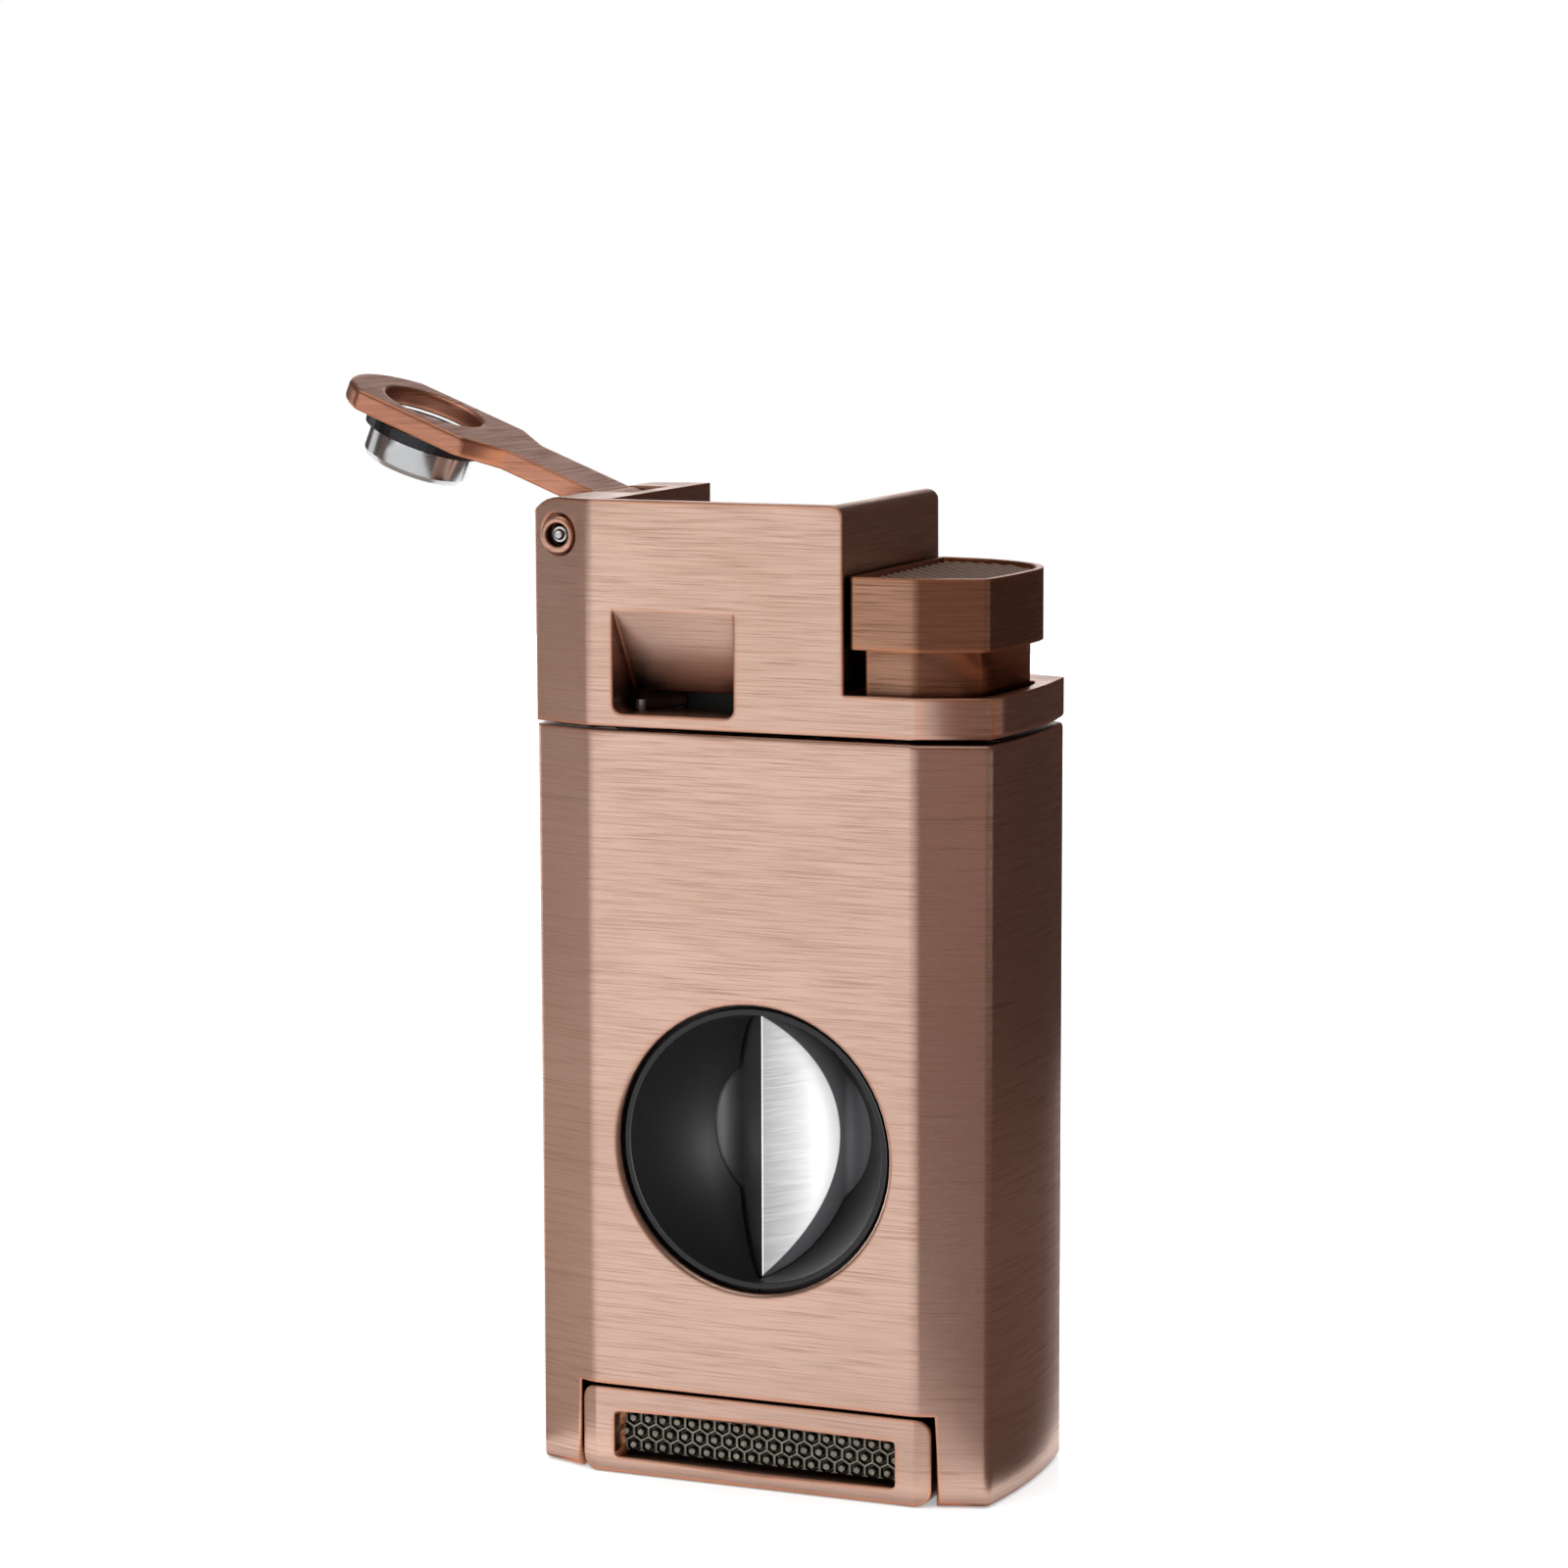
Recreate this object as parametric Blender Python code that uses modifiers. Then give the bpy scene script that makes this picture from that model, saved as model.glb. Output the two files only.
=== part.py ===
"""Pocket torch for cigars: twin gas jets, a V-cutter in a drawer and a fold-out punch.

The casing is a zinc body with a separate head. The frame has +X to the right of the front
face, +Y to the back and +Z up, with the origin in the middle of the base.
Every length is in metres, written as millimetres times MM.
"""
import math

import bmesh
import bpy
from mathutils import Matrix, Vector

MM = 0.001

# Clearances and tool sizes that every piece shares.
GAP = 0.3 * MM
SLIP = 0.4 * MM
EDGE = 0.3 * MM

# Casing: two flats, four corner bands and two slightly bowed sides, split at a seam.
HEIGHT = 80.0 * MM
HEAD_HEIGHT = 18.4 * MM
DEPTH = 21.0 * MM
FLAT_HALF = 14.0 * MM
RIDGE_X = 19.7 * MM
BAND_SETBACK = 2.0 * MM
SIDE_BOW = 0.7 * MM
SIDE_STEPS = 6
WALL = 1.2 * MM
FLOOR = 2.0 * MM
FRONT = -DEPTH / 2
BACK = DEPTH / 2
SEAM_Z = HEIGHT - HEAD_HEIGHT
HEAD_LOW = SEAM_Z + GAP / 2
BODY_HIGH = SEAM_Z - GAP / 2
OPEN_AIR = 2 * HEIGHT

# Head: hinge block on the left, flame chamber, air scoop and a ledge for the button.
BLOCK_X = -12.6 * MM
TALL_X = 8.0 * MM
TALL_FILLET = 1.0 * MM
LEDGE_THICK = 1.2 * MM
LEDGE_Z = SEAM_Z + 3.5 * MM
REAR_SILL = 2.6 * MM
SCOOP_LEFT = -12.0 * MM
SCOOP_RIGHT = -1.4 * MM
SCOOP_DEPTH = 4.4 * MM
SCOOP_CORNER = 0.8 * MM
SCOOP_BACKING = 0.9 * MM
SLOT_BOTTOM = SEAM_Z + 1.2 * MM
SLOT_TOP = SEAM_Z + 2.7 * MM
SCOOP_TOP = SEAM_Z + 9.6 * MM

# Fold-out punch on its pin at the upper left corner; it hangs in a tray in the left side.
PIN_X = -RIDGE_X + 2.5 * MM
PIN_DROP = 3.0 * MM
PIN_RADIUS = 0.65 * MM
BUSH_RADIUS = 1.5 * MM
ARM_Y = 1.5 * MM
ARM_HALF = 3.3 * MM
ARM_BOTTOM = 1.0 * MM
ARM_TOP = 2.65 * MM
ARM_LIFT = math.radians(21.7)
KNUCKLE_RADIUS = 2.9 * MM
BORE_RADIUS = 4.2 * MM
PADDLE_HALF = BORE_RADIUS + 1.7 * MM
PADDLE_RADIUS = BORE_RADIUS + 3.15 * MM
PUNCH_REACH = 19.0 * MM
SHOULDER_START = 6.1 * MM
SHOULDER = 2.9 * MM
PUNCH_INNER = BORE_RADIUS - 0.1 * MM
PUNCH_WALL = 0.4 * MM
PUNCH_LENGTH = 3.5 * MM
PUNCH_BEVEL = 0.45 * MM
COLLAR_HEIGHT = 0.9 * MM
COLLAR_WALL = 0.4 * MM
COLLAR_OUTER = PUNCH_INNER + PUNCH_WALL + GAP + COLLAR_WALL
PADDLE_SLIP = 0.25 * MM
TRAY_WALL = 0.5 * MM
TRAY_THICK = 0.6 * MM
TRAY_RIM_X = -RIDGE_X + 0.1 * MM
TRAY_FLOOR_X = -RIDGE_X + 2.1 * MM
PUNCH_POCKET_RADIUS = COLLAR_OUTER + GAP
PUNCH_POCKET_X = -RIDGE_X + 5.9 * MM
PIN_Z = HEIGHT - PIN_DROP
STOWED_Z = PIN_Z - PUNCH_REACH
PIN_FACE = BACK - 1.4 * MM
BUSH_SEAT = BACK - 1.9 * MM

# V-cutter behind the round window of the front face.
HOLE_Z = 27.9 * MM
HOLE_RADIUS = 11.8 * MM
WINDOW_LOW = HOLE_Z - HOLE_RADIUS
WINDOW_HIGH = HOLE_Z + HOLE_RADIUS
DISH_RADIUS = HOLE_RADIUS - 0.8 * MM
DISH_WALL = 0.7 * MM
DISH_FLANGE = 1.8 * MM
LIP_SETBACK = 0.6 * MM
RIDGE_SETBACK = 2.1 * MM
BLADE_ANGLE = math.radians(33.7)
BLADE_DEPTH = 6.7 * MM
BLADE_SHEET = 0.6 * MM
BLADE_MARGIN = 0.7 * MM
FLANGE_REACH = 8.6 * MM
SLIDER_HALF = 9.0 * MM
SLIDER_THICK = 1.2 * MM
RIDGE_Y = FRONT + RIDGE_SETBACK
FLANGE_Y = RIDGE_Y + BLADE_DEPTH
SLIDER_FRONT = FLANGE_Y + BLADE_SHEET + GAP
SLIDER_BACK = SLIDER_FRONT + SLIDER_THICK
SLIDER_HIGH = WINDOW_HIGH + 1.3 * MM
RIVET_X = 7.0 * MM
RIVET_HEIGHTS = (WINDOW_LOW + 2.4 * MM, WINDOW_HIGH - 2.2 * MM)
RIVET_RADIUS = 0.45 * MM
RIVET_HEAD = 1.0 * MM
BACKPLATE_HALF = 16.5 * MM
BACKPLATE_FRONT = SLIDER_BACK + 1.3 * MM
BACKPLATE_THICK = 0.8 * MM
BACKPLATE_BACK = BACKPLATE_FRONT + BACKPLATE_THICK
RAIL_WIDTH = 1.0 * MM
LEAF_SHEET = 0.25 * MM
LEAF_HALF = 1.5 * MM
LEAF_REACH = 8.0 * MM

# Drawer cap under the cutter, with a studded finger grip.
CAP_HALF = 15.3 * MM
CAP_HEIGHT = 7.1 * MM
CAP_BACK = SLIDER_BACK + 1.2 * MM
CAP_CORNER = 1.2 * MM
GRIP_HALF = 12.4 * MM
GRIP_LOW = 1.3 * MM
GRIP_HIGH = 5.15 * MM
GRIP_RECESS = 2.6 * MM
GRIP_THICK = 1.1 * MM
SLIDER_LOW = CAP_HEIGHT + GAP
FOOT_HEIGHT = 3.0 * MM
FOOT_FRONT = FRONT + 4.5 * MM

# Chassis plate across the top of the body.
CHASSIS_THICK = 1.6 * MM
CHASSIS_LOW = SEAM_Z - 2.0 * MM
CHASSIS_HIGH = CHASSIS_LOW + CHASSIS_THICK

# Button: copper cap on a neck, a plastic carrier inside it and the piezo below.
BUTTON_TRAVEL = 3.2 * MM
BUTTON_LOW = LEDGE_Z + BUTTON_TRAVEL + SLIP
BUTTON_TALL = 5.75 * MM
BUTTON_HIGH = BUTTON_LOW + BUTTON_TALL
BUTTON_EDGE = 0.4 * MM
BUTTON_CORNER_X = 9.5 * MM
BUTTON_CORNER_Y = 1.5 * MM
BUTTON_WALL = 1.0 * MM
BUTTON_ROOF = 1.4 * MM
NECK_INSET = 1.05 * MM
NECK_BACK = 4.4 * MM
NECK_LOW = LEDGE_Z - 1.9 * MM
RIM_WIDTH = 0.55 * MM
PAD_DEPTH = 1.15 * MM
PAD_THICK = 0.6 * MM
CARRIER_LOW = LEDGE_Z + 0.8 * MM
CARRIER_THICK = 2.0 * MM
PIEZO_X = 13.9 * MM
PIEZO_Y = -2.2 * MM
PIEZO_HALF = 4.0 * MM
PIEZO_HIGH = CHASSIS_LOW - 1.0 * MM
PIEZO_LOW = PIEZO_HIGH - 15.6 * MM
PLUNGER_RADIUS = 2.2 * MM
PLUNGER_LOW = PIEZO_HIGH - 4.1 * MM
SPRING_RADIUS = 2.95 * MM
SPRING_WIRE = 0.25 * MM
SPRING_TURNS = 5
SPRING_SIDES = 12

# Tank: a slab behind the cutter and a full-depth chamber above it.
TANK_WALL = 0.9 * MM
TANK_HALF = 12.9 * MM
TANK_LEFT = -TANK_HALF + 0.5 * MM
TANK_RIGHT = 8.4 * MM
TANK_FRONT = BACKPLATE_BACK + 1.8 * MM
TANK_LOW = FLOOR + GAP
TANK_SPLIT_Z = SLIDER_HIGH + 4.6 * MM
TANK_HIGH = CHASSIS_LOW - 1.7 * MM
LUG_HEIGHT = 3.6 * MM

# Refill valve and flame adjuster in the base, gas valve above them.
VALVE_X = 0.2 * MM
VALVE_Y = BACK - 3.85 * MM
VALVE_LOW = TANK_HIGH - 10.9 * MM
VALVE_SHANK = 1.1 * MM
VALVE_BORE = 0.75 * MM
VALVE_FLANGE = 2.3 * MM
VALVE_NOSE = 1.3 * MM
STEM_RADIUS = 0.45 * MM
STEM_COLLAR = 1.2 * MM
FILLER_X = -9.0 * MM
FILLER_HEAD = 2.0 * MM
FILLER_SHANK = 1.15 * MM
FILLER_BORE = 0.7 * MM
FILLER_STEM = 0.4 * MM
FILLER_LENGTH = 7.6 * MM
ADJUSTER_HEAD = 2.1 * MM
ROD_RADIUS = 0.6 * MM
BASE_HEAD = 1.2 * MM

# Rocker between the button and the gas valve.
LEVER_X = 2.6 * MM
LEVER_THICK = 1.0 * MM
LEVER_HUB = 1.0 * MM
LEVER_Z = CHASSIS_HIGH + LEVER_HUB + GAP
LEVER_ARM_Y = 2.6 * MM
LEVER_REACH = 9.0 * MM
LEVER_PIN = 0.4 * MM
EAR_THICK = 0.8 * MM
ROCKER_EARS = (LEVER_ARM_Y - 1.9 * MM, VALVE_Y + 1.15 * MM)

# Burner, jets, electrode and flame plate.
BURNER_X = -2.1 * MM
BURNER_Y = 2.0 * MM
BURNER_HALF_X = 5.9 * MM
BURNER_HALF_Y = 3.8 * MM
BURNER_LOW = SEAM_Z + 4.9 * MM
BURNER_HIGH = BURNER_LOW + 4.1 * MM
JET_SPACING = 6.9 * MM
JET_RADIUS = 2.2 * MM
JET_BORE = 1.4 * MM
JET_TOP = BURNER_HIGH + 4.6 * MM
JET_SEAT = 2.4 * MM
FLAME_PLATE_Z = JET_TOP + 1.0 * MM
FLAME_PLATE_THICK = 0.6 * MM
ELECTRODE_Y = BURNER_Y + 1.8 * MM
ELECTRODE_RADIUS = 0.35 * MM
INSULATOR_RADIUS = 1.1 * MM
LEAD_RADIUS = 0.3 * MM
LEAD_HOLE = (5.0 * MM, FRONT + 5.0 * MM)

# Screws and the posts that they hold.
SCREW_RADIUS = 0.5 * MM
SCREW_HEAD = 1.3 * MM
HEAD_TALL = 0.8 * MM
SCREW_SINK = 1.2 * MM
SCREW_SIDES = 12
POST_X = 14.9 * MM
POST_HEIGHTS = (HOLE_Z - 15.9 * MM, HOLE_Z + 11.6 * MM)
POST_RADIUS = 1.6 * MM
POST_FOOT = 1.1 * MM
CORNER_POSTS = ((-14.6 * MM, FRONT + 3.3 * MM), (15.0 * MM, BACK - 3.5 * MM))
HEAD_POSTS = ((-10.9 * MM, FRONT + 3.2 * MM), (7.5 * MM, BACK - 2.9 * MM))
TANK_POSTS = ((-14.8 * MM, BACK - 4.1 * MM), (14.8 * MM, BACK - 4.1 * MM))
DRAWER_SCREWS = ((-6.0 * MM, SLIDER_BACK - 3.8 * MM), (6.0 * MM, SLIDER_BACK - 3.8 * MM))

COPPER = ((0.72, 0.46, 0.36), 0.32, 1.0)
STEEL = ((0.62, 0.62, 0.63), 0.22, 1.0)
DARK_STEEL = ((0.16, 0.16, 0.16), 0.35, 1.0)
BRASS = ((0.78, 0.60, 0.30), 0.30, 1.0)
BLACK_PLASTIC = ((0.015, 0.015, 0.016), 0.45, 0.0)
BROWN_PLASTIC = ((0.045, 0.03, 0.025), 0.6, 0.0)
CLEAR_PLASTIC = ((0.55, 0.58, 0.60), 0.25, 0.0)
PEWTER = ((0.32, 0.32, 0.30), 0.40, 1.0)
RED_PLASTIC = ((0.45, 0.03, 0.02), 0.5, 0.0)


# ---------------------------------------------------------------- scene and materials

def clear_scene():
    for item in list(bpy.data.objects):
        bpy.data.objects.remove(item, do_unlink=True)


def new_collection(name):
    collection = bpy.data.collections.new(name)
    bpy.context.scene.collection.children.link(collection)
    return collection


def new_material(name, finish):
    colour, roughness, metallic = finish
    material = bpy.data.materials.new(name)
    material.use_nodes = True
    shader = material.node_tree.nodes["Principled BSDF"]
    shader.inputs["Base Color"].default_value = (*colour, 1.0)
    shader.inputs["Roughness"].default_value = roughness
    shader.inputs["Metallic"].default_value = metallic
    return material


def finish_part(part, finish):
    """Give a part its material, put it with the parts and smooth its round faces."""
    PARTS.objects.link(part)
    part.data.materials.clear()
    part.data.materials.append(new_material(part.name, finish))
    part.data.shade_smooth()
    part.data.set_sharp_from_angle(angle=math.radians(35))
    return part


def use_as_tool(tool):
    """Keep a cutter, or a shape that is joined on, out of the render."""
    CUTTERS.objects.link(tool)
    tool.hide_render = True
    tool.display_type = "WIRE"
    return tool


def combine(part, tool, operation):
    modifier = part.modifiers.new(operation.title(), "BOOLEAN")
    modifier.operation = operation
    modifier.solver = "EXACT"
    modifier.object = use_as_tool(tool)
    return part


def cut(part, *tools):
    for tool in tools:
        combine(part, tool, "DIFFERENCE")
    return part


def join(part, *tools):
    for tool in tools:
        combine(part, tool, "UNION")
    return part


def trim(part, tool):
    return combine(part, tool, "INTERSECT")


# ---------------------------------------------------------------- shapes

def mesh_part(name, shape):
    mesh = bpy.data.meshes.new(name)
    shape.to_mesh(mesh)
    shape.free()
    return bpy.data.objects.new(name, mesh)


def round_edges(part, width, segments=2):
    """Round the edges that turn by more than a corner band does."""
    bevel = part.modifiers.new("Rounded edges", "BEVEL")
    bevel.width = width
    bevel.segments = segments
    bevel.limit_method = "ANGLE"
    bevel.angle_limit = math.radians(60)
    return part


def block(name, low, high, edge=0.0):
    """A box between two corners, with rounded edges when edge is given."""
    shape = bmesh.new()
    bmesh.ops.create_cube(shape, size=1.0)
    size = Vector(high) - Vector(low)
    middle = (Vector(high) + Vector(low)) / 2
    bmesh.ops.scale(shape, vec=size, verts=shape.verts)
    bmesh.ops.translate(shape, vec=middle, verts=shape.verts)
    part = mesh_part(name, shape)
    return round_edges(part, edge) if edge else part


AXIS_TURN = {
    "X": Matrix.Rotation(math.pi / 2, 4, "Y"),
    "Y": Matrix.Rotation(-math.pi / 2, 4, "X"),
    "Z": Matrix.Identity(4),
}


def bar(name, axis, centre, radius, low, high, sides=24):
    """A round bar along an axis, from low to high; centre holds its other two coordinates."""
    shape = bmesh.new()
    bmesh.ops.create_cone(shape, cap_ends=True, segments=sides, radius1=radius, radius2=radius,
                          depth=high - low)
    bmesh.ops.transform(shape, matrix=AXIS_TURN[axis], verts=shape.verts)
    middle = (low + high) / 2
    place = {"X": (middle, *centre), "Y": (centre[0], middle, centre[1]), "Z": (*centre, middle)}
    bmesh.ops.translate(shape, vec=place[axis], verts=shape.verts)
    return mesh_part(name, shape)


OUTLINE_TURN = {
    "X": Matrix(((0, 0, 1, 0), (1, 0, 0, 0), (0, 1, 0, 0), (0, 0, 0, 1))),
    "Y": Matrix(((1, 0, 0, 0), (0, 0, -1, 0), (0, 1, 0, 0), (0, 0, 0, 1))),
    "Z": Matrix.Identity(4),
}


def curve_to_mesh(curve_object):
    """The curve's own surface as a closed mesh, with its caps welded on."""
    bpy.context.scene.collection.objects.link(curve_object)
    graph = bpy.context.evaluated_depsgraph_get()
    mesh = bpy.data.meshes.new_from_object(curve_object.evaluated_get(graph))
    shape = bmesh.new()
    shape.from_mesh(mesh)
    bmesh.ops.remove_doubles(shape, verts=shape.verts, dist=1e-7)
    bmesh.ops.recalc_face_normals(shape, faces=shape.faces)
    name = curve_object.name
    bpy.data.objects.remove(curve_object, do_unlink=True)
    return mesh_part(name, shape)


def plate(name, outline, low, high, axis="Z"):
    """An outline filled and extruded along an axis: (x, y) for Z, (x, z) for Y, (y, z) for X."""
    curve = bpy.data.curves.new(name, "CURVE")
    curve.dimensions = "2D"
    curve.fill_mode = "BOTH"
    curve.extrude = (high - low) / 2
    spline = curve.splines.new("POLY")
    spline.points.add(len(outline) - 1)
    for point, (across, up) in zip(spline.points, outline):
        point.co = (across, up, 0.0, 1.0)
    spline.use_cyclic_u = True
    part = curve_to_mesh(bpy.data.objects.new(name, curve))
    middle = (low + high) / 2
    shift = {"X": (middle, 0, 0), "Y": (0, middle, 0), "Z": (0, 0, middle)}
    part.data.transform(Matrix.Translation(shift[axis]) @ OUTLINE_TURN[axis])
    return part


def turned(name, profile, sides=24, axis="Z", place=(0, 0, 0)):
    """A profile of (radius, height) points, down its outer side, turned about an axis."""
    shape = bmesh.new()
    corners = [shape.verts.new((radius, 0.0, height)) for radius, height in profile]
    for first, second in zip(corners, corners[1:]):
        shape.edges.new((first, second))
    if profile[0][0] > 0:
        shape.edges.new((corners[-1], corners[0]))
    part = mesh_part(name, shape)
    screw = part.modifiers.new("Turned", "SCREW")
    screw.steps = sides
    screw.render_steps = sides
    screw.use_merge_vertices = True
    screw.merge_threshold = 1e-6
    part.matrix_world = Matrix.Translation(place) @ AXIS_TURN[axis]
    return part


def wire(name, points, radius, resolution=2):
    """A round wire through the given points."""
    curve = bpy.data.curves.new(name, "CURVE")
    curve.dimensions = "3D"
    curve.bevel_depth = radius
    curve.bevel_resolution = resolution
    curve.use_fill_caps = True
    spline = curve.splines.new("POLY")
    spline.points.add(len(points) - 1)
    for point, place in zip(spline.points, points):
        point.co = (*place, 1.0)
    return curve_to_mesh(bpy.data.objects.new(name, curve))


def arc(centre, radius, start, end, steps):
    """Points on an arc, from a start to an end angle in degrees."""
    angles = [math.radians(start + (end - start) * step / steps) for step in range(steps + 1)]
    return [(centre[0] + radius * math.cos(a), centre[1] + radius * math.sin(a)) for a in angles]


def inset(outline, distance):
    """Move every side of a counter-clockwise outline inwards by a distance."""
    count = len(outline)
    moved = []
    for index in range(count):
        before = Vector(outline[index - 1])
        here = Vector(outline[index])
        after = Vector(outline[(index + 1) % count])
        first = (here - before).normalized()
        second = (after - here).normalized()
        middle = Vector((-first.y, first.x)) + Vector((-second.y, second.x))
        middle.normalize()
        reach = distance / middle.dot(Vector((-first.y, first.x)))
        moved.append(tuple(here + middle * reach))
    return moved


def rounded_rectangle(low, high, radius, steps=4):
    left, right = low[0] + radius, high[0] - radius
    bottom, top = low[1] + radius, high[1] - radius
    corners = ((right, bottom), (right, top), (left, top), (left, bottom))
    outline = []
    for quarter, centre in enumerate(corners):
        outline += arc(centre, radius, 90 * quarter - 90, 90 * quarter, steps)
    return outline


def side_points():
    """The bowed right side, from the front ridge to the back ridge."""
    ridge_y = DEPTH / 2 - BAND_SETBACK
    radius = (ridge_y ** 2 + SIDE_BOW ** 2) / (2 * SIDE_BOW)
    half = math.degrees(math.asin(ridge_y / radius))
    return arc((RIDGE_X + SIDE_BOW - radius, 0.0), radius, -half, half, SIDE_STEPS)


def casing_outline(distance=0.0):
    """Plan of the casing, counter-clockwise, moved inwards by a distance."""
    right = [(FLAT_HALF, FRONT), *side_points(), (FLAT_HALF, BACK)]
    left = [(-x, -y) for x, y in right]
    return inset(right + left, distance)


SCREW_TURN = {
    ("Z", 1): Matrix.Identity(4),
    ("Z", -1): Matrix.Rotation(math.pi, 4, "X"),
    ("Y", 1): Matrix.Rotation(-math.pi / 2, 4, "X"),
    ("Y", -1): Matrix.Rotation(math.pi / 2, 4, "X"),
}


def screw_set(name, places, axis, head_at, tip_at, head=SCREW_HEAD):
    """Like screws side by side: a flat head at head_at and a shank that ends at tip_at."""
    length = abs(tip_at - head_at)
    profile = [(0, 0), (head, 0), (head, -HEAD_TALL), (SCREW_RADIUS, -HEAD_TALL),
               (SCREW_RADIUS, -length), (0, -length)]
    facing = 1 if head_at > tip_at else -1
    for number, (across, up) in enumerate(places, start=1):
        spot = (across, up, head_at) if axis == "Z" else (across, head_at, up)
        screw = turned(f"{name}_{number}", profile, sides=SCREW_SIDES)
        screw.matrix_world = Matrix.Translation(spot) @ SCREW_TURN[(axis, facing)]
        finish_part(screw, STEEL)


def pocket_outline(clearance, top):
    """Plan of the stowed paddle in (y, z), grown by a clearance and open at the top."""
    half = PADDLE_HALF + clearance
    radius = PADDLE_RADIUS + clearance
    edge = math.degrees(math.asin(half / radius))
    bottom = arc((ARM_Y, STOWED_Z), radius, -90 - edge, -90 + edge, 10)
    return [(ARM_Y - half, top), *bottom, (ARM_Y + half, top)]


def button_outline(distance=0.0):
    """Plan of the button cap: it follows the casing in front and rounds off behind."""
    left = TALL_X + GAP
    rim = casing_outline(BUTTON_EDGE)
    front = [(x, y) for x, y in rim if x > left and y < BUTTON_CORNER_Y]
    reach_x = max(x for x, y in front) - BUTTON_CORNER_X
    reach_y = BACK - BUTTON_EDGE - BUTTON_CORNER_Y
    corner = [(BUTTON_CORNER_X + reach_x * x, BUTTON_CORNER_Y + reach_y * y)
              for x, y in arc((0, 0), 1.0, 0, 90, 8)]
    outline = [(left, FRONT + BUTTON_EDGE), *front, *corner, (left, BACK - BUTTON_EDGE)]
    return inset(outline, distance)


# ---------------------------------------------------------------- body and drawer

def make_body_shell():
    body = plate("body_shell", casing_outline(), 0.0, BODY_HIGH)
    cut(body, plate("body_hollow", casing_outline(WALL), FLOOR, OPEN_AIR))
    for side in (-1, 1):
        for height in POST_HEIGHTS:
            join(body, bar("cutter_post", "Y", (side * POST_X, height), POST_RADIUS,
                           FRONT + POST_FOOT, BACKPLATE_FRONT - GAP, sides=16))
            cut(body, bar("cutter_post_hole", "Y", (side * POST_X, height), SCREW_RADIUS + GAP,
                          SLIDER_FRONT - 4 * MM, BACK / 2, sides=SCREW_SIDES))
    for x, y in CORNER_POSTS:
        outwards = math.copysign(1.0, y)
        ends = sorted((y - 1.8 * MM * outwards, y + 2.1 * MM * outwards))
        join(body, block("corner_post", (x - 1.6 * MM, ends[0], TANK_SPLIT_Z),
                         (x + 1.6 * MM, ends[1], CHASSIS_LOW - GAP)))
        cut(body, bar("corner_post_hole", "Z", (x, y), SCREW_RADIUS + GAP,
                      CHASSIS_LOW - 6 * MM, OPEN_AIR, sides=SCREW_SIDES))
    shelf_low = (PIEZO_X - PIEZO_HALF + 0.6 * MM, PIEZO_Y - 3 * MM, PIEZO_LOW - 1.2 * MM)
    join(body, block("piezo_shelf", shelf_low, (RIDGE_X - WALL / 2, PIEZO_Y + 3 * MM, PIEZO_LOW - GAP)))
    cut(body, bar("round_window", "Y", (0, HOLE_Z), HOLE_RADIUS, -OPEN_AIR, FRONT / 2, sides=64))
    notch = CAP_HALF + GAP
    cut(body, block("drawer_notch", (-notch, -OPEN_AIR, -OPEN_AIR),
                    (notch, CAP_BACK + GAP, CAP_HEIGHT + GAP)))
    window = pocket_outline(PADDLE_SLIP + TRAY_WALL + GAP, OPEN_AIR)
    cut(body, plate("punch_window", window, -OPEN_AIR, TRAY_FLOOR_X + TRAY_THICK + GAP, axis="X"))
    inside = FLOOR + GAP
    cut(body, bar("filler_hole", "Z", (FILLER_X, VALVE_Y), FILLER_HEAD + GAP, -OPEN_AIR, inside))
    cut(body, bar("adjuster_hole", "Z", (VALVE_X, VALVE_Y), ADJUSTER_HEAD + GAP, -OPEN_AIR, inside))
    for place in TANK_POSTS:
        cut(body, bar("base_screw_hole", "Z", place, SCREW_RADIUS + GAP, -OPEN_AIR, inside,
                      sides=SCREW_SIDES))
        cut(body, bar("base_screw_sink", "Z", place, SCREW_HEAD + GAP, -OPEN_AIR, SCREW_SINK, sides=16))
    return finish_part(body, COPPER)


def make_punch_pocket_liner():
    """A moulded tray in the body's left side that hides the folded punch."""
    outer = pocket_outline(PADDLE_SLIP + TRAY_WALL, BODY_HIGH)
    inner = pocket_outline(PADDLE_SLIP, OPEN_AIR)
    liner = plate("punch_pocket_liner", outer, TRAY_RIM_X, TRAY_FLOOR_X + TRAY_THICK, axis="X")
    centre = (ARM_Y, STOWED_Z)
    join(liner, bar("punch_cup", "X", centre, PUNCH_POCKET_RADIUS + TRAY_THICK,
                    TRAY_FLOOR_X + TRAY_THICK / 2, PUNCH_POCKET_X + TRAY_THICK, sides=40))
    cut(liner, plate("tray_hollow", inner, -OPEN_AIR, TRAY_FLOOR_X, axis="X"))
    cut(liner, bar("punch_hollow", "X", centre, PUNCH_POCKET_RADIUS, -OPEN_AIR, PUNCH_POCKET_X, sides=40))
    cut(liner, block("above_body", (-OPEN_AIR, -OPEN_AIR, BODY_HIGH), (0, OPEN_AIR, OPEN_AIR)))
    return finish_part(liner, BLACK_PLASTIC)


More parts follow.
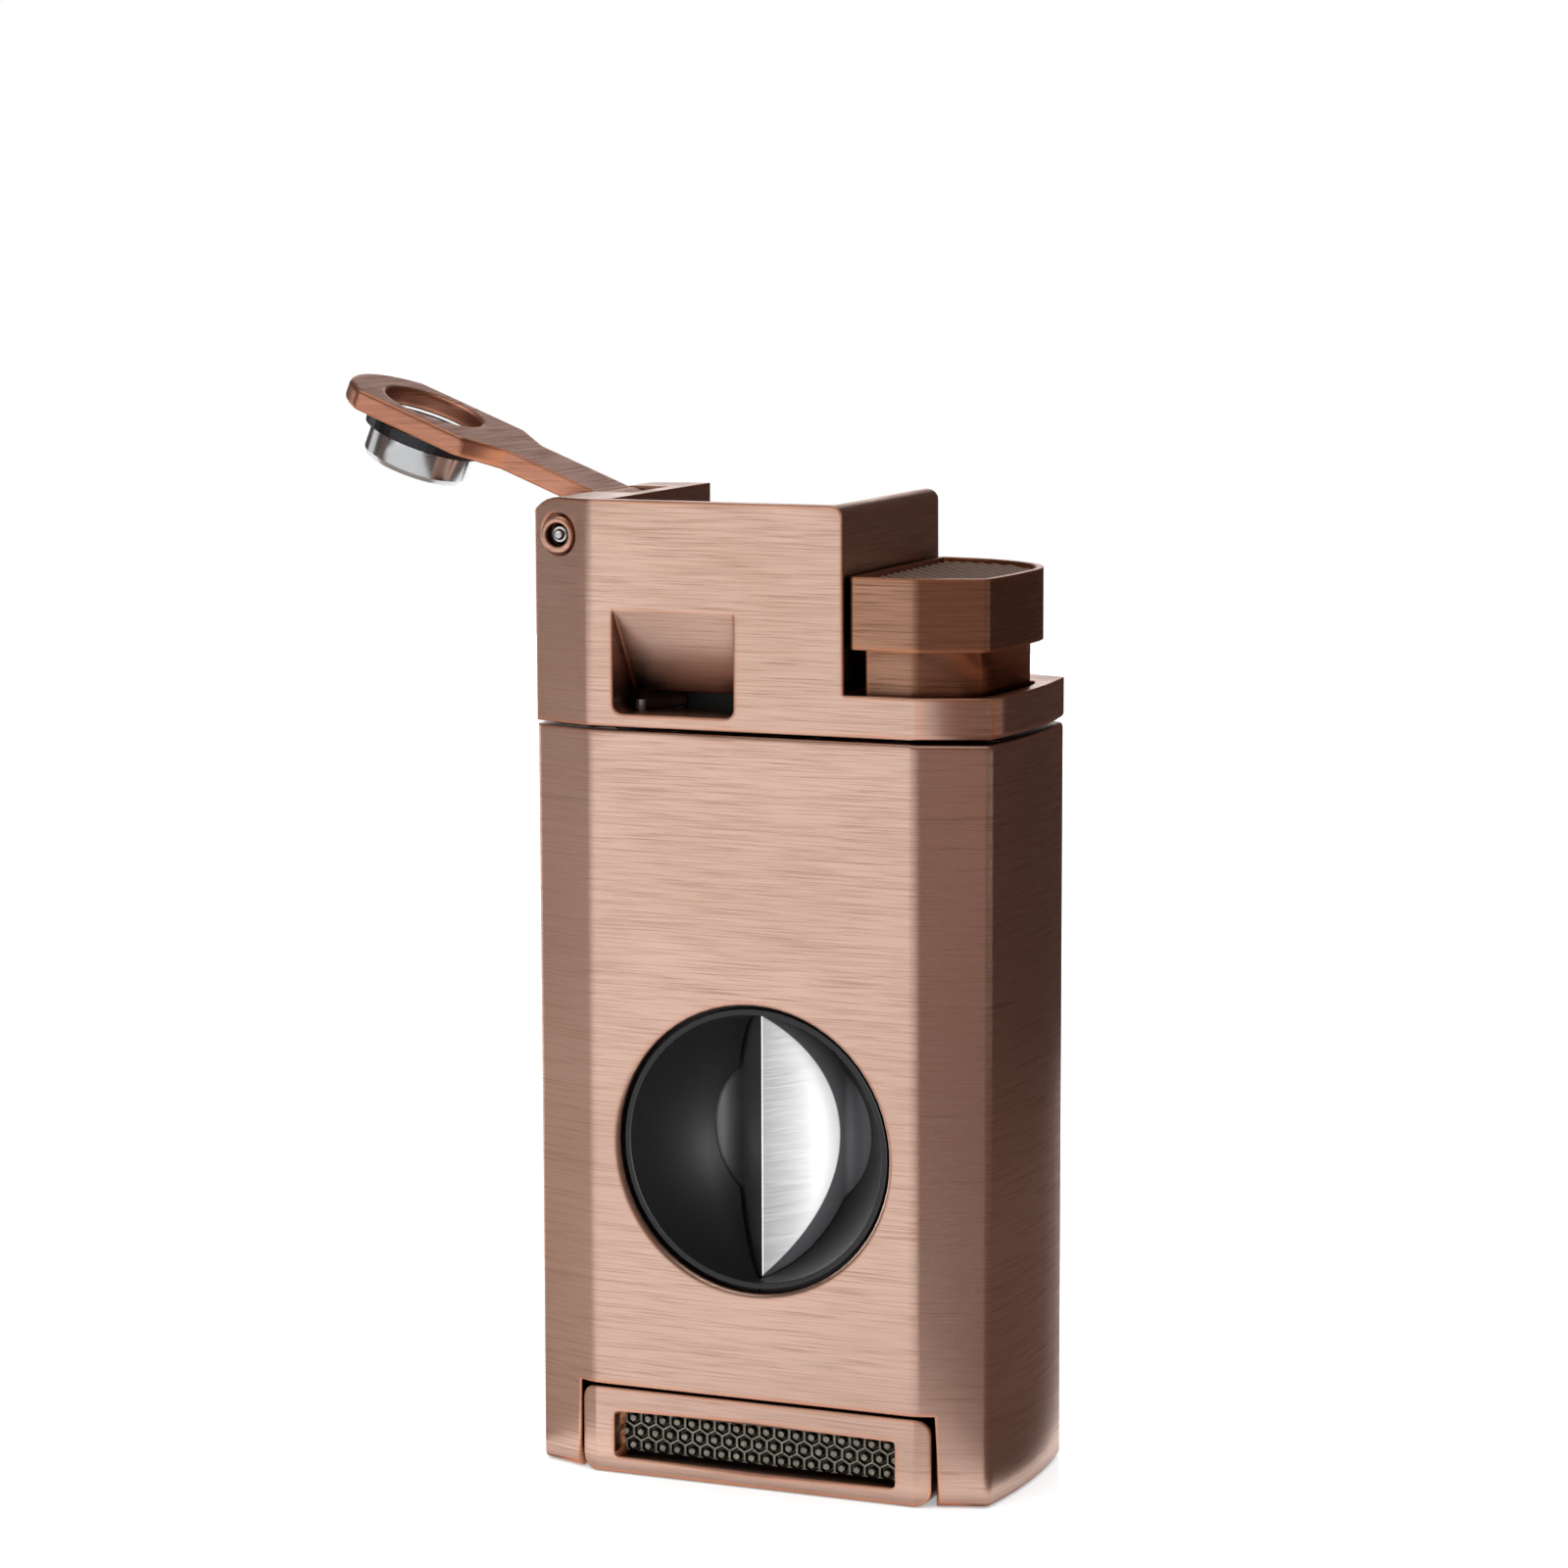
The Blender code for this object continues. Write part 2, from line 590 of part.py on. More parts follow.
def make_drawer_cap():
    cap = plate("drawer_cap", casing_outline(), 0.0, CAP_HEIGHT)
    face = rounded_rectangle((-CAP_HALF, 0.0), (CAP_HALF, CAP_HEIGHT), CAP_CORNER)
    trim(cap, plate("cap_face", face, FRONT - WALL, CAP_BACK, axis="Y"))
    grip = rounded_rectangle((-GRIP_HALF, GRIP_LOW), (GRIP_HALF, GRIP_HIGH), EDGE)
    cut(cap, plate("grip_recess", grip, -OPEN_AIR, FRONT + GRIP_RECESS, axis="Y"))
    for place in DRAWER_SCREWS:
        cut(cap, bar("drawer_screw_hole", "Z", place, SCREW_RADIUS + GAP, -OPEN_AIR, OPEN_AIR,
                     sides=SCREW_SIDES))
        cut(cap, bar("drawer_screw_sink", "Z", place, SCREW_HEAD + GAP, -OPEN_AIR, SCREW_SINK, sides=16))
    return finish_part(cap, COPPER)


def make_grip_insert():
    back = FRONT + GRIP_RECESS - GAP
    low = (-GRIP_HALF + GAP, back - GRIP_THICK, GRIP_LOW + GAP)
    insert = block("grip_insert", low, (GRIP_HALF - GAP, back, GRIP_HIGH - GAP))
    return finish_part(insert, PEWTER)


def blade_line(setback):
    """Half width of the V at a height y, for a line this far behind the outer faces."""
    ridge = RIDGE_Y + setback / math.sin(BLADE_ANGLE)
    return ridge, lambda y: (y - ridge) * math.tan(BLADE_ANGLE)


def make_v_blade():
    """A folded steel sheet with its ridge to the front and two flanges behind."""
    ridge, half_at = blade_line(0.0)
    inner_ridge, inner_half_at = blade_line(BLADE_SHEET)
    back = FLANGE_Y + BLADE_SHEET
    right = [(half_at(FLANGE_Y), FLANGE_Y), (FLANGE_REACH, FLANGE_Y), (FLANGE_REACH, back),
             (inner_half_at(back), back)]
    left = [(-x, y) for x, y in reversed(right)]
    outline = [(0.0, ridge), *right, (0.0, inner_ridge), *left]
    blade = plate("v_blade", outline, WINDOW_LOW - BLADE_MARGIN, WINDOW_HIGH + BLADE_MARGIN)
    for side in (-1, 1):
        for height in RIVET_HEIGHTS:
            cut(blade, bar("blade_rivet_hole", "Y", (side * RIVET_X, height), RIVET_RADIUS + GAP,
                           FLANGE_Y - GAP, back + GAP, sides=SCREW_SIDES))
    return finish_part(blade, STEEL)


def make_cutter_slider():
    """The carriage behind the blade, with a foot for the drawer cap and a rib inside the V."""
    slider = block("cutter_slider", (-SLIDER_HALF, SLIDER_FRONT, SLIDER_LOW),
                   (SLIDER_HALF, SLIDER_BACK, SLIDER_HIGH))
    join(slider, block("slider_foot", (-SLIDER_HALF, FOOT_FRONT, SLIDER_LOW),
                       (SLIDER_HALF, SLIDER_BACK - GAP, SLIDER_LOW + FOOT_HEIGHT)))
    ridge, half_at = blade_line(BLADE_SHEET + GAP)
    back = SLIDER_FRONT + SLIDER_THICK / 2
    front = SLIDER_FRONT - GAP
    rib = [(0.0, ridge), (half_at(front), front), (half_at(front), back), (-half_at(front), back),
           (-half_at(front), front)]
    join(slider, plate("slider_rib", rib, WINDOW_LOW, WINDOW_HIGH))
    for side in (-1, 1):
        for height in RIVET_HEIGHTS:
            cut(slider, bar("slider_rivet_hole", "Y", (side * RIVET_X, height), RIVET_RADIUS + GAP,
                            SLIDER_FRONT - GAP, SLIDER_BACK + GAP, sides=SCREW_SIDES))
    for place in DRAWER_SCREWS:
        cut(slider, bar("foot_screw_hole", "Z", place, SCREW_RADIUS + GAP, 0.0,
                        SLIDER_LOW + FOOT_HEIGHT - 0.4 * MM, sides=SCREW_SIDES))
    return finish_part(slider, BLACK_PLASTIC)


def make_blade_rivets():
    head_low = SLIDER_BACK + GAP - FLANGE_Y
    tip = 0.05 * MM
    profile = [(0, head_low + 0.5 * MM), (RIVET_HEAD, head_low + 0.5 * MM), (RIVET_HEAD, head_low),
               (RIVET_RADIUS, head_low), (RIVET_RADIUS, tip), (0, tip)]
    places = [(side * RIVET_X, FLANGE_Y, height) for side in (-1, 1) for height in RIVET_HEIGHTS]
    for number, place in enumerate(places, start=1):
        finish_part(turned(f"blade_rivet_{number}", profile, sides=12, axis="Y", place=place), STEEL)


def make_cutter_cup():
    """The round dish behind the window: the V-blade's channel splits it up to its lip."""
    outer = DISH_RADIUS + DISH_WALL
    flange_front = WALL + GAP
    flange_back = flange_front + 0.8 * MM
    start = math.degrees(math.asin(flange_back / outer))
    end = math.degrees(math.asin(LIP_SETBACK / DISH_RADIUS))
    profile = [(0, outer), *reversed(arc((0, 0), outer, start, 80, 8)),
               (HOLE_RADIUS + DISH_FLANGE, flange_back), (HOLE_RADIUS + DISH_FLANGE, flange_front),
               (HOLE_RADIUS - GAP, flange_front), (HOLE_RADIUS - GAP, LIP_SETBACK),
               *arc((0, 0), DISH_RADIUS, end, 80, 8), (0, DISH_RADIUS)]
    cup = turned("cutter_cup", profile, sides=64, axis="Y", place=(0, FRONT, HOLE_Z))
    ridge, half_at = blade_line(-SLIP)
    back = FLANGE_Y - GAP
    channel = [(0.0, ridge), (half_at(back), back), (RIDGE_X, back), (RIDGE_X, BACK), (-RIDGE_X, BACK),
               (-RIDGE_X, back), (-half_at(back), back)]
    cut(cup, plate("blade_channel", channel, 0.0, HEIGHT))
    return finish_part(cup, BLACK_PLASTIC)


def make_cutter_backplate():
    """A steel plate on four posts, with a rail each side that guides the slider."""
    low = SLIDER_LOW + 1.6 * MM
    high = SLIDER_HIGH + 0.6 * MM
    backplate = block("cutter_backplate", (-BACKPLATE_HALF, BACKPLATE_FRONT, low),
                      (BACKPLATE_HALF, BACKPLATE_BACK, high))
    inner = SLIDER_HALF + SLIP
    for side in (-1, 1):
        across = sorted((side * inner, side * (inner + RAIL_WIDTH)))
        join(backplate, block("rail", (across[0], SLIDER_FRONT - 0.8 * MM, low),
                              (across[1], BACKPLATE_FRONT + BACKPLATE_THICK / 2, high)))
        for height in POST_HEIGHTS:
            cut(backplate, bar("backplate_hole", "Y", (side * POST_X, height), SCREW_RADIUS + GAP,
                               BACKPLATE_FRONT - GAP, BACKPLATE_BACK + GAP, sides=SCREW_SIDES))
    return finish_part(backplate, STEEL)


def make_detent_leaf():
    """A bent leaf spring that holds the drawer shut by friction."""
    back = BACKPLATE_FRONT - GAP
    crest = SLIDER_BACK + GAP
    flat = back - LEAF_SHEET
    bend = LEAF_REACH - 5.0 * MM
    front_line = [(flat, HOLE_Z - LEAF_REACH), (flat, HOLE_Z - bend), (crest, HOLE_Z),
                  (flat, HOLE_Z + bend), (flat, HOLE_Z + LEAF_REACH)]
    back_line = [(y + LEAF_SHEET, z) for y, z in reversed(front_line)]
    leaf = plate("detent_leaf", front_line + back_line, -LEAF_HALF, LEAF_HALF, axis="X")
    return finish_part(leaf, STEEL)


# ---------------------------------------------------------------- gas and chassis

def make_fuel_tank():
    """One moulded tank: a slab behind the cutter and a full-depth chamber above it."""
    wall = TANK_WALL
    back = BACK - WALL - GAP
    slab_high = (TANK_HALF, back, TANK_SPLIT_Z + wall)
    tank = block("fuel_tank", (-TANK_HALF, TANK_FRONT, TANK_LOW), slab_high, EDGE)
    join(tank, block("tank_chamber", (TANK_LEFT, -back, TANK_SPLIT_Z), (TANK_RIGHT, back, TANK_HIGH)))
    for x, y in TANK_POSTS:
        ends = sorted((math.copysign(TANK_HALF - EDGE, x), x + math.copysign(2.0 * MM, x)))
        join(tank, block("tank_lug", (ends[0], y - 1.7 * MM, TANK_LOW),
                         (ends[1], y + 1.5 * MM, TANK_LOW + LUG_HEIGHT)))
    cut(tank, block("slab_hollow", (-TANK_HALF + wall, TANK_FRONT + wall, TANK_LOW + wall),
                    (TANK_HALF - wall, back - wall, TANK_SPLIT_Z + 1.5 * wall)))
    cut(tank, block("chamber_hollow", (TANK_LEFT + wall, -back + wall, TANK_SPLIT_Z + wall),
                    (TANK_RIGHT - wall, back - wall, TANK_HIGH - wall)))
    floor = TANK_LOW + 2 * wall
    roof = TANK_HIGH - 2 * wall
    cut(tank, bar("filler_port", "Z", (FILLER_X, VALVE_Y), FILLER_SHANK + SLIP, 0.0, floor, sides=16))
    cut(tank, bar("adjuster_port", "Z", (VALVE_X, VALVE_Y), ROD_RADIUS + SLIP, 0.0, floor, sides=SCREW_SIDES))
    cut(tank, bar("valve_port", "Z", (VALVE_X, VALVE_Y), VALVE_SHANK + SLIP, roof, OPEN_AIR, sides=16))
    for place in TANK_POSTS:
        cut(tank, bar("lug_hole", "Z", place, SCREW_RADIUS + GAP, 0.0, TANK_LOW + LUG_HEIGHT - 0.4 * MM,
                      sides=SCREW_SIDES))
    return finish_part(tank, CLEAR_PLASTIC)


def make_fill_valve():
    low = 0.4 * MM
    neck = low + BASE_HEAD
    top = low + FILLER_LENGTH
    profile = [(FILLER_BORE, top), (FILLER_SHANK, top), (FILLER_SHANK, neck), (FILLER_HEAD, neck),
               (FILLER_HEAD, low), (FILLER_BORE, low)]
    return finish_part(turned("fill_valve", profile, sides=20, place=(FILLER_X, VALVE_Y, 0)), BRASS)


def make_fill_stem():
    low = 0.8 * MM
    top = low + FILLER_LENGTH - 1.2 * MM
    profile = [(0, top), (FILLER_STEM, top), (FILLER_STEM, low), (0, low)]
    return finish_part(turned("fill_stem", profile, sides=12, place=(FILLER_X, VALVE_Y, 0)), STEEL)


def make_flame_adjuster():
    """A slotted screw in the base with a long rod up through the tank to the gas valve."""
    low = 0.5 * MM
    neck = low + BASE_HEAD
    top = VALVE_LOW - GAP
    profile = [(0, top), (ROD_RADIUS, top), (ROD_RADIUS, neck), (ADJUSTER_HEAD, neck),
               (ADJUSTER_HEAD, low), (0, low)]
    adjuster = turned("flame_adjuster", profile, sides=20, place=(VALVE_X, VALVE_Y, 0))
    slot = 0.3 * MM
    reach = 2 * ADJUSTER_HEAD
    cut(adjuster, block("screwdriver_slot", (VALVE_X - reach, VALVE_Y - slot, -low),
                        (VALVE_X + reach, VALVE_Y + slot, low + 0.6 * MM)))
    return finish_part(adjuster, BRASS)


def make_gas_valve():
    foot = TANK_HIGH + GAP
    shoulder = foot + 1.0 * MM
    top = CHASSIS_HIGH - 0.2 * MM
    profile = [(0, VALVE_LOW + 3 * MM), (VALVE_BORE, VALVE_LOW + 3 * MM), (VALVE_BORE, top),
               (VALVE_NOSE, top), (VALVE_NOSE, shoulder), (VALVE_FLANGE, shoulder), (VALVE_FLANGE, foot),
               (VALVE_SHANK, foot), (VALVE_SHANK, VALVE_LOW), (0, VALVE_LOW)]
    return finish_part(turned("gas_valve", profile, sides=20, place=(VALVE_X, VALVE_Y, 0)), BRASS)


def make_valve_stem():
    """The valve's outlet: the rocker's fork lifts its collar."""
    collar = LEVER_Z + LEVER_THICK / 2 + SLIP
    top = collar + 2.0 * MM
    low = VALVE_LOW + 3.4 * MM
    profile = [(0, top), (STEM_RADIUS - 0.1 * MM, top), (STEM_RADIUS + 0.1 * MM, top - 0.5 * MM),
               (STEM_RADIUS, top - 0.8 * MM), (STEM_RADIUS, collar + 0.5 * MM),
               (STEM_COLLAR, collar + 0.5 * MM), (STEM_COLLAR, collar), (STEM_RADIUS, collar),
               (STEM_RADIUS, low), (0, low)]
    return finish_part(turned("valve_stem", profile, sides=16, place=(VALVE_X, VALVE_Y, 0)), BRASS)


def make_chassis_plate():
    """The plate across the top of the body that carries the burner, rocker and head."""
    chassis = plate("chassis_plate", casing_outline(WALL + GAP), CHASSIS_LOW, CHASSIS_HIGH)
    liner_y = ARM_Y - PADDLE_HALF - PADDLE_SLIP - TRAY_WALL - GAP
    liner_x = PUNCH_POCKET_X + TRAY_THICK + GAP
    cut(chassis, block("liner_room", (-OPEN_AIR, liner_y, 0), (liner_x, OPEN_AIR, OPEN_AIR)))
    left_end = TRAY_FLOOR_X + TRAY_THICK + SLIP
    cut(chassis, block("left_end", (-OPEN_AIR, -OPEN_AIR, 0), (left_end, OPEN_AIR, OPEN_AIR)))
    cut(chassis, block("button_room", (TALL_X + 0.7 * MM, -OPEN_AIR, 0),
                       (OPEN_AIR, NECK_BACK + 0.5 * MM, OPEN_AIR)))
    cut(chassis, block("rocker_room", (LEVER_X + 1.4 * MM, LEVER_ARM_Y - 0.9 * MM, 0),
                       (TALL_X + WALL, LEVER_ARM_Y + 0.9 * MM, OPEN_AIR)))
    for y in ROCKER_EARS:
        join(chassis, block("rocker_ear", (LEVER_X - 1.1 * MM, y, CHASSIS_LOW + 0.5 * MM),
                            (LEVER_X + 1.1 * MM, y + EAR_THICK, LEVER_Z + 1.1 * MM)))
    cut(chassis, bar("rocker_pin_hole", "Y", (LEVER_X, LEVER_Z), LEVER_PIN + GAP, 0.0, BACK,
                     sides=SCREW_SIDES))
    cut(chassis, bar("valve_room", "Z", (VALVE_X, VALVE_Y), VALVE_FLANGE + SLIP, 0.0, OPEN_AIR))
    cut(chassis, bar("lead_hole", "Z", LEAD_HOLE, 0.7 * MM, 0.0, OPEN_AIR, sides=SCREW_SIDES))
    for place in CORNER_POSTS:
        cut(chassis, bar("chassis_screw_hole", "Z", place, SCREW_RADIUS + GAP, 0.0, OPEN_AIR,
                         sides=SCREW_SIDES))
        cut(chassis, bar("chassis_screw_sink", "Z", place, SCREW_HEAD + GAP,
                         CHASSIS_HIGH - SCREW_SINK, OPEN_AIR, sides=16))
    for place in HEAD_POSTS:
        cut(chassis, bar("head_screw_hole", "Z", place, SCREW_RADIUS + GAP, 0.0, OPEN_AIR,
                         sides=SCREW_SIDES))
    return finish_part(chassis, STEEL)


def make_gas_lever():
    """A rocker: the button pushes its long arm down and its fork lifts the valve stem."""
    hub_low = ROCKER_EARS[0] + EAR_THICK + SLIP
    hub_high = ROCKER_EARS[1] - SLIP
    low = LEVER_Z - LEVER_THICK / 2
    high = LEVER_Z + LEVER_THICK / 2
    lever = bar("gas_lever", "Y", (LEVER_X, LEVER_Z), LEVER_HUB, hub_low, hub_high, sides=20)
    join(lever, block("long_arm", (LEVER_X, LEVER_ARM_Y - LEVER_THICK / 2, low),
                      (LEVER_X + LEVER_REACH, LEVER_ARM_Y + LEVER_THICK / 2, high)))
    join(lever, block("fork", (VALVE_X - 0.8 * MM, VALVE_Y - 1.1 * MM, low),
                      (LEVER_X, hub_high - EDGE, high)))
    slot = STEM_RADIUS + GAP
    cut(lever, block("fork_slot", (VALVE_X - 2 * MM, VALVE_Y - slot, 0),
                     (VALVE_X + 2 * slot, VALVE_Y + slot, OPEN_AIR)))
    cut(lever, bar("rocker_bore", "Y", (LEVER_X, LEVER_Z), LEVER_PIN + GAP, 0.0, BACK, sides=SCREW_SIDES))
    return finish_part(lever, STEEL)


def make_lever_pin():
    low, high = ROCKER_EARS
    pin = bar("lever_pin", "Y", (LEVER_X, LEVER_Z), LEVER_PIN, low, high + EAR_THICK, sides=SCREW_SIDES)
    return finish_part(pin, STEEL)


def jet_places():
    return {"nozzle_left": BURNER_X - JET_SPACING / 2, "nozzle_right": BURNER_X + JET_SPACING / 2}


def make_burner_base():
    base = block("burner_base", (BURNER_X - 7.1 * MM, BURNER_Y - 4.5 * MM, CHASSIS_HIGH + GAP),
                 (BURNER_X + 0.3 * MM, BURNER_Y + 4.3 * MM, BURNER_LOW - GAP), EDGE)
    return finish_part(base, BLACK_PLASTIC)


def make_burner_block():
    burner = block("burner_block", (BURNER_X - BURNER_HALF_X, BURNER_Y - BURNER_HALF_Y, BURNER_LOW),
                   (BURNER_X + BURNER_HALF_X, BURNER_Y + BURNER_HALF_Y, BURNER_HIGH), EDGE)
    for x in jet_places().values():
        cut(burner, bar("jet_seat", "Z", (x, BURNER_Y), JET_RADIUS + GAP, BURNER_HIGH - JET_SEAT, OPEN_AIR))
    return finish_part(burner, BRASS)


def make_nozzles():
    low = BURNER_HIGH - JET_SEAT + GAP
    floor = BURNER_HIGH + 0.9 * MM
    profile = [(0, floor), (JET_BORE, floor), (JET_BORE, JET_TOP), (JET_RADIUS, JET_TOP),
               (JET_RADIUS, low), (0, low)]
    for name, x in jet_places().items():
        finish_part(turned(name, profile, sides=28, place=(x, BURNER_Y, 0)), STEEL)


def make_flame_plate():
    """The sheet that closes the flame chamber but for a hole over each jet."""
    sheet = block("flame_plate", (BLOCK_X + GAP, FRONT + WALL + GAP, FLAME_PLATE_Z),
                  (TALL_X - WALL - GAP, BACK - WALL - GAP, FLAME_PLATE_Z + FLAME_PLATE_THICK))
    hole = JET_RADIUS + 0.7 * MM
    for x in jet_places().values():
        cut(sheet, bar("flame_hole", "Z", (x, BURNER_Y), hole, BURNER_HIGH, OPEN_AIR, sides=32))
    return finish_part(sheet, DARK_STEEL)


def make_spark_electrode():
    low = BURNER_HIGH + GAP
    points = [(BURNER_X, ELECTRODE_Y, low), (BURNER_X, ELECTRODE_Y, JET_TOP - 1.4 * MM),
              (BURNER_X - 0.2 * MM, ELECTRODE_Y - 0.4 * MM, JET_TOP - 0.6 * MM),
              (BURNER_X - 0.6 * MM, ELECTRODE_Y - 1.2 * MM, JET_TOP + 0.4 * MM)]
    return finish_part(wire("spark_electrode", points, ELECTRODE_RADIUS), STEEL)


def make_electrode_insulator():
    low = BURNER_HIGH + GAP
    bore = ELECTRODE_RADIUS + GAP
    top = low + 2.3 * MM
    profile = [(bore, top), (INSULATOR_RADIUS, top), (INSULATOR_RADIUS, low), (bore, low)]
    insulator = turned("electrode_insulator", profile, sides=20, place=(BURNER_X, ELECTRODE_Y, 0))
    return finish_part(insulator, ((0.85, 0.84, 0.80), 0.4, 0.0))


def make_gas_tube():
    """The short elbow from the valve's outlet into the back of the burner."""
    low = BURNER_LOW + GAP
    bend_z = BURNER_LOW + 1.6 * MM
    end_y = BURNER_Y + BURNER_HALF_Y + GAP
    bend = VALVE_Y - end_y
    curve = [(VALVE_X, y, z) for y, z in arc((end_y, bend_z), bend, 0, 90, 5)]
    return finish_part(wire("gas_tube", [(VALVE_X, VALVE_Y, low), *curve], 0.35 * MM), BRASS)


def make_ignition_lead():
    """The insulated wire from the side of the piezo, through the chassis, to the electrode."""
    beside = (TANK_RIGHT + PIEZO_X - PIEZO_HALF) / 2
    above_tank = TANK_HIGH + 0.85 * MM
    hole_x, hole_y = LEAD_HOLE
    burner_front = BURNER_Y - BURNER_HALF_Y
    points = [(beside, PIEZO_Y, PIEZO_LOW + 7 * MM), (beside, PIEZO_Y, TANK_HIGH - GAP),
              (beside - 0.3 * MM, PIEZO_Y - 0.4 * MM, TANK_HIGH + 0.6 * MM),
              (beside - 0.9 * MM, PIEZO_Y - 1.0 * MM, above_tank),
              (hole_x + 0.5 * MM, hole_y + 0.3 * MM, above_tank),
              (hole_x, hole_y, above_tank + 0.6 * MM), (hole_x, hole_y, CHASSIS_HIGH + 1.0 * MM),
              (hole_x - 1.5 * MM, hole_y + 0.8 * MM, CHASSIS_HIGH + 3.5 * MM),
              (BURNER_X + 2.2 * MM, burner_front - 1.5 * MM, BURNER_LOW + 1.0 * MM),
              (BURNER_X + 0.4 * MM, burner_front - 1.2 * MM, BURNER_HIGH - 0.4 * MM),
              (BURNER_X, burner_front - 0.2 * MM, BURNER_HIGH + 1.1 * MM),
              (BURNER_X, ELECTRODE_Y - INSULATOR_RADIUS - 2 * GAP, BURNER_HIGH + 1.2 * MM)]
    return finish_part(wire("ignition_lead", points, LEAD_RADIUS), RED_PLASTIC)


# ---------------------------------------------------------------- head

def make_head_shell():
    head = plate("head_shell", casing_outline(), HEAD_LOW, HEIGHT)
    trim(head, plate("head_profile", head_profile(), -OPEN_AIR, OPEN_AIR, axis="Y"))
    right = TALL_X - WALL
    back = BACK - WALL
    scoop_back = FRONT + SCOOP_DEPTH + SCOOP_BACKING
    cut(head, block("flame_chamber", (BLOCK_X, scoop_back, 0), (right, back, OPEN_AIR)))
    cut(head, block("chamber_front", (SCOOP_RIGHT + WALL, FRONT + WALL, 0), (right, 0, OPEN_AIR)))
    cut(head, block("over_scoop", (BLOCK_X, FRONT + WALL, SCOOP_TOP + WALL), (0, 0, OPEN_AIR)))
    cut(head, block("rear_sill", (BLOCK_X, 0, HEIGHT - REAR_SILL), (right, OPEN_AIR, OPEN_AIR)))
    under_ledge = plate("under_ledge", casing_outline(WALL), 0.0, LEDGE_Z - LEDGE_THICK)
    trim(under_ledge, block("right_of_chamber", (right - WALL, -OPEN_AIR, -MM),
                            (OPEN_AIR, OPEN_AIR, OPEN_AIR)))
    cut(head, under_ledge)
    neck_room = plate("neck_room", button_outline(NECK_INSET - SLIP), LEDGE_Z - 2 * LEDGE_THICK, HEIGHT)
    trim(neck_room, block("neck_room_back", (0, -OPEN_AIR, 0), (OPEN_AIR, NECK_BACK + SLIP, OPEN_AIR)))
    cut(head, neck_room)
    post_x, post_y = HEAD_POSTS[1]
    join(head, block("head_post", (post_x - 1.5 * MM, post_y - 1.4 * MM, HEAD_LOW),
                     (post_x + 1.4 * MM, back + WALL / 2, LEDGE_Z)))
    for place in HEAD_POSTS:
        cut(head, bar("head_post_hole", "Z", place, SCREW_RADIUS + GAP, 0.0, LEDGE_Z - 0.8 * MM,
                      sides=SCREW_SIDES))
    cut(head, *scoop_cutters(), *punch_slot_cutters())
    return finish_part(head, COPPER)


def head_profile():
    """Front view of the head: tall on the left, rounded about the hinge, and a low ledge."""
    top = HEIGHT + MM
    wide = 2 * RIDGE_X
    fillet = TALL_FILLET
    reach = RIDGE_X + SIDE_BOW + 0.05 * MM + PIN_X
    corner = [(PIN_X + reach * x, PIN_Z + PIN_DROP * z) for x, z in arc((0, 0), 1.0, 90, 180, 8)]
    right = arc((TALL_X - fillet, HEIGHT - fillet), fillet, 0, 90, 4)
    return [(-wide, 0), (wide, 0), (wide, LEDGE_Z), (TALL_X, LEDGE_Z), *right, (TALL_X - fillet, top),
            (PIN_X, top), *corner, (-wide, PIN_Z)]


def scoop_cutters():
    """The air scoop: a floor that slopes in from the face, and a slot under it."""
    slope = (SCOOP_TOP - SLOT_TOP) / SCOOP_DEPTH
    out = 1.0 * MM
    inside = FRONT + SCOOP_DEPTH
    outline = [(FRONT - out, SCOOP_TOP + out * slope), (inside, SLOT_TOP), (inside + 2 * WALL, SLOT_TOP),
               (inside + 2 * WALL, SLOT_BOTTOM), (FRONT - out, SLOT_BOTTOM)]
    scoop = plate("air_scoop", outline, SCOOP_LEFT, SCOOP_RIGHT, axis="X")
    window = rounded_rectangle((SCOOP_LEFT, SLOT_BOTTOM), (SCOOP_RIGHT, HEIGHT), SCOOP_CORNER)
    return [trim(scoop, plate("scoop_window", window, -OPEN_AIR, OPEN_AIR, axis="Y"))]


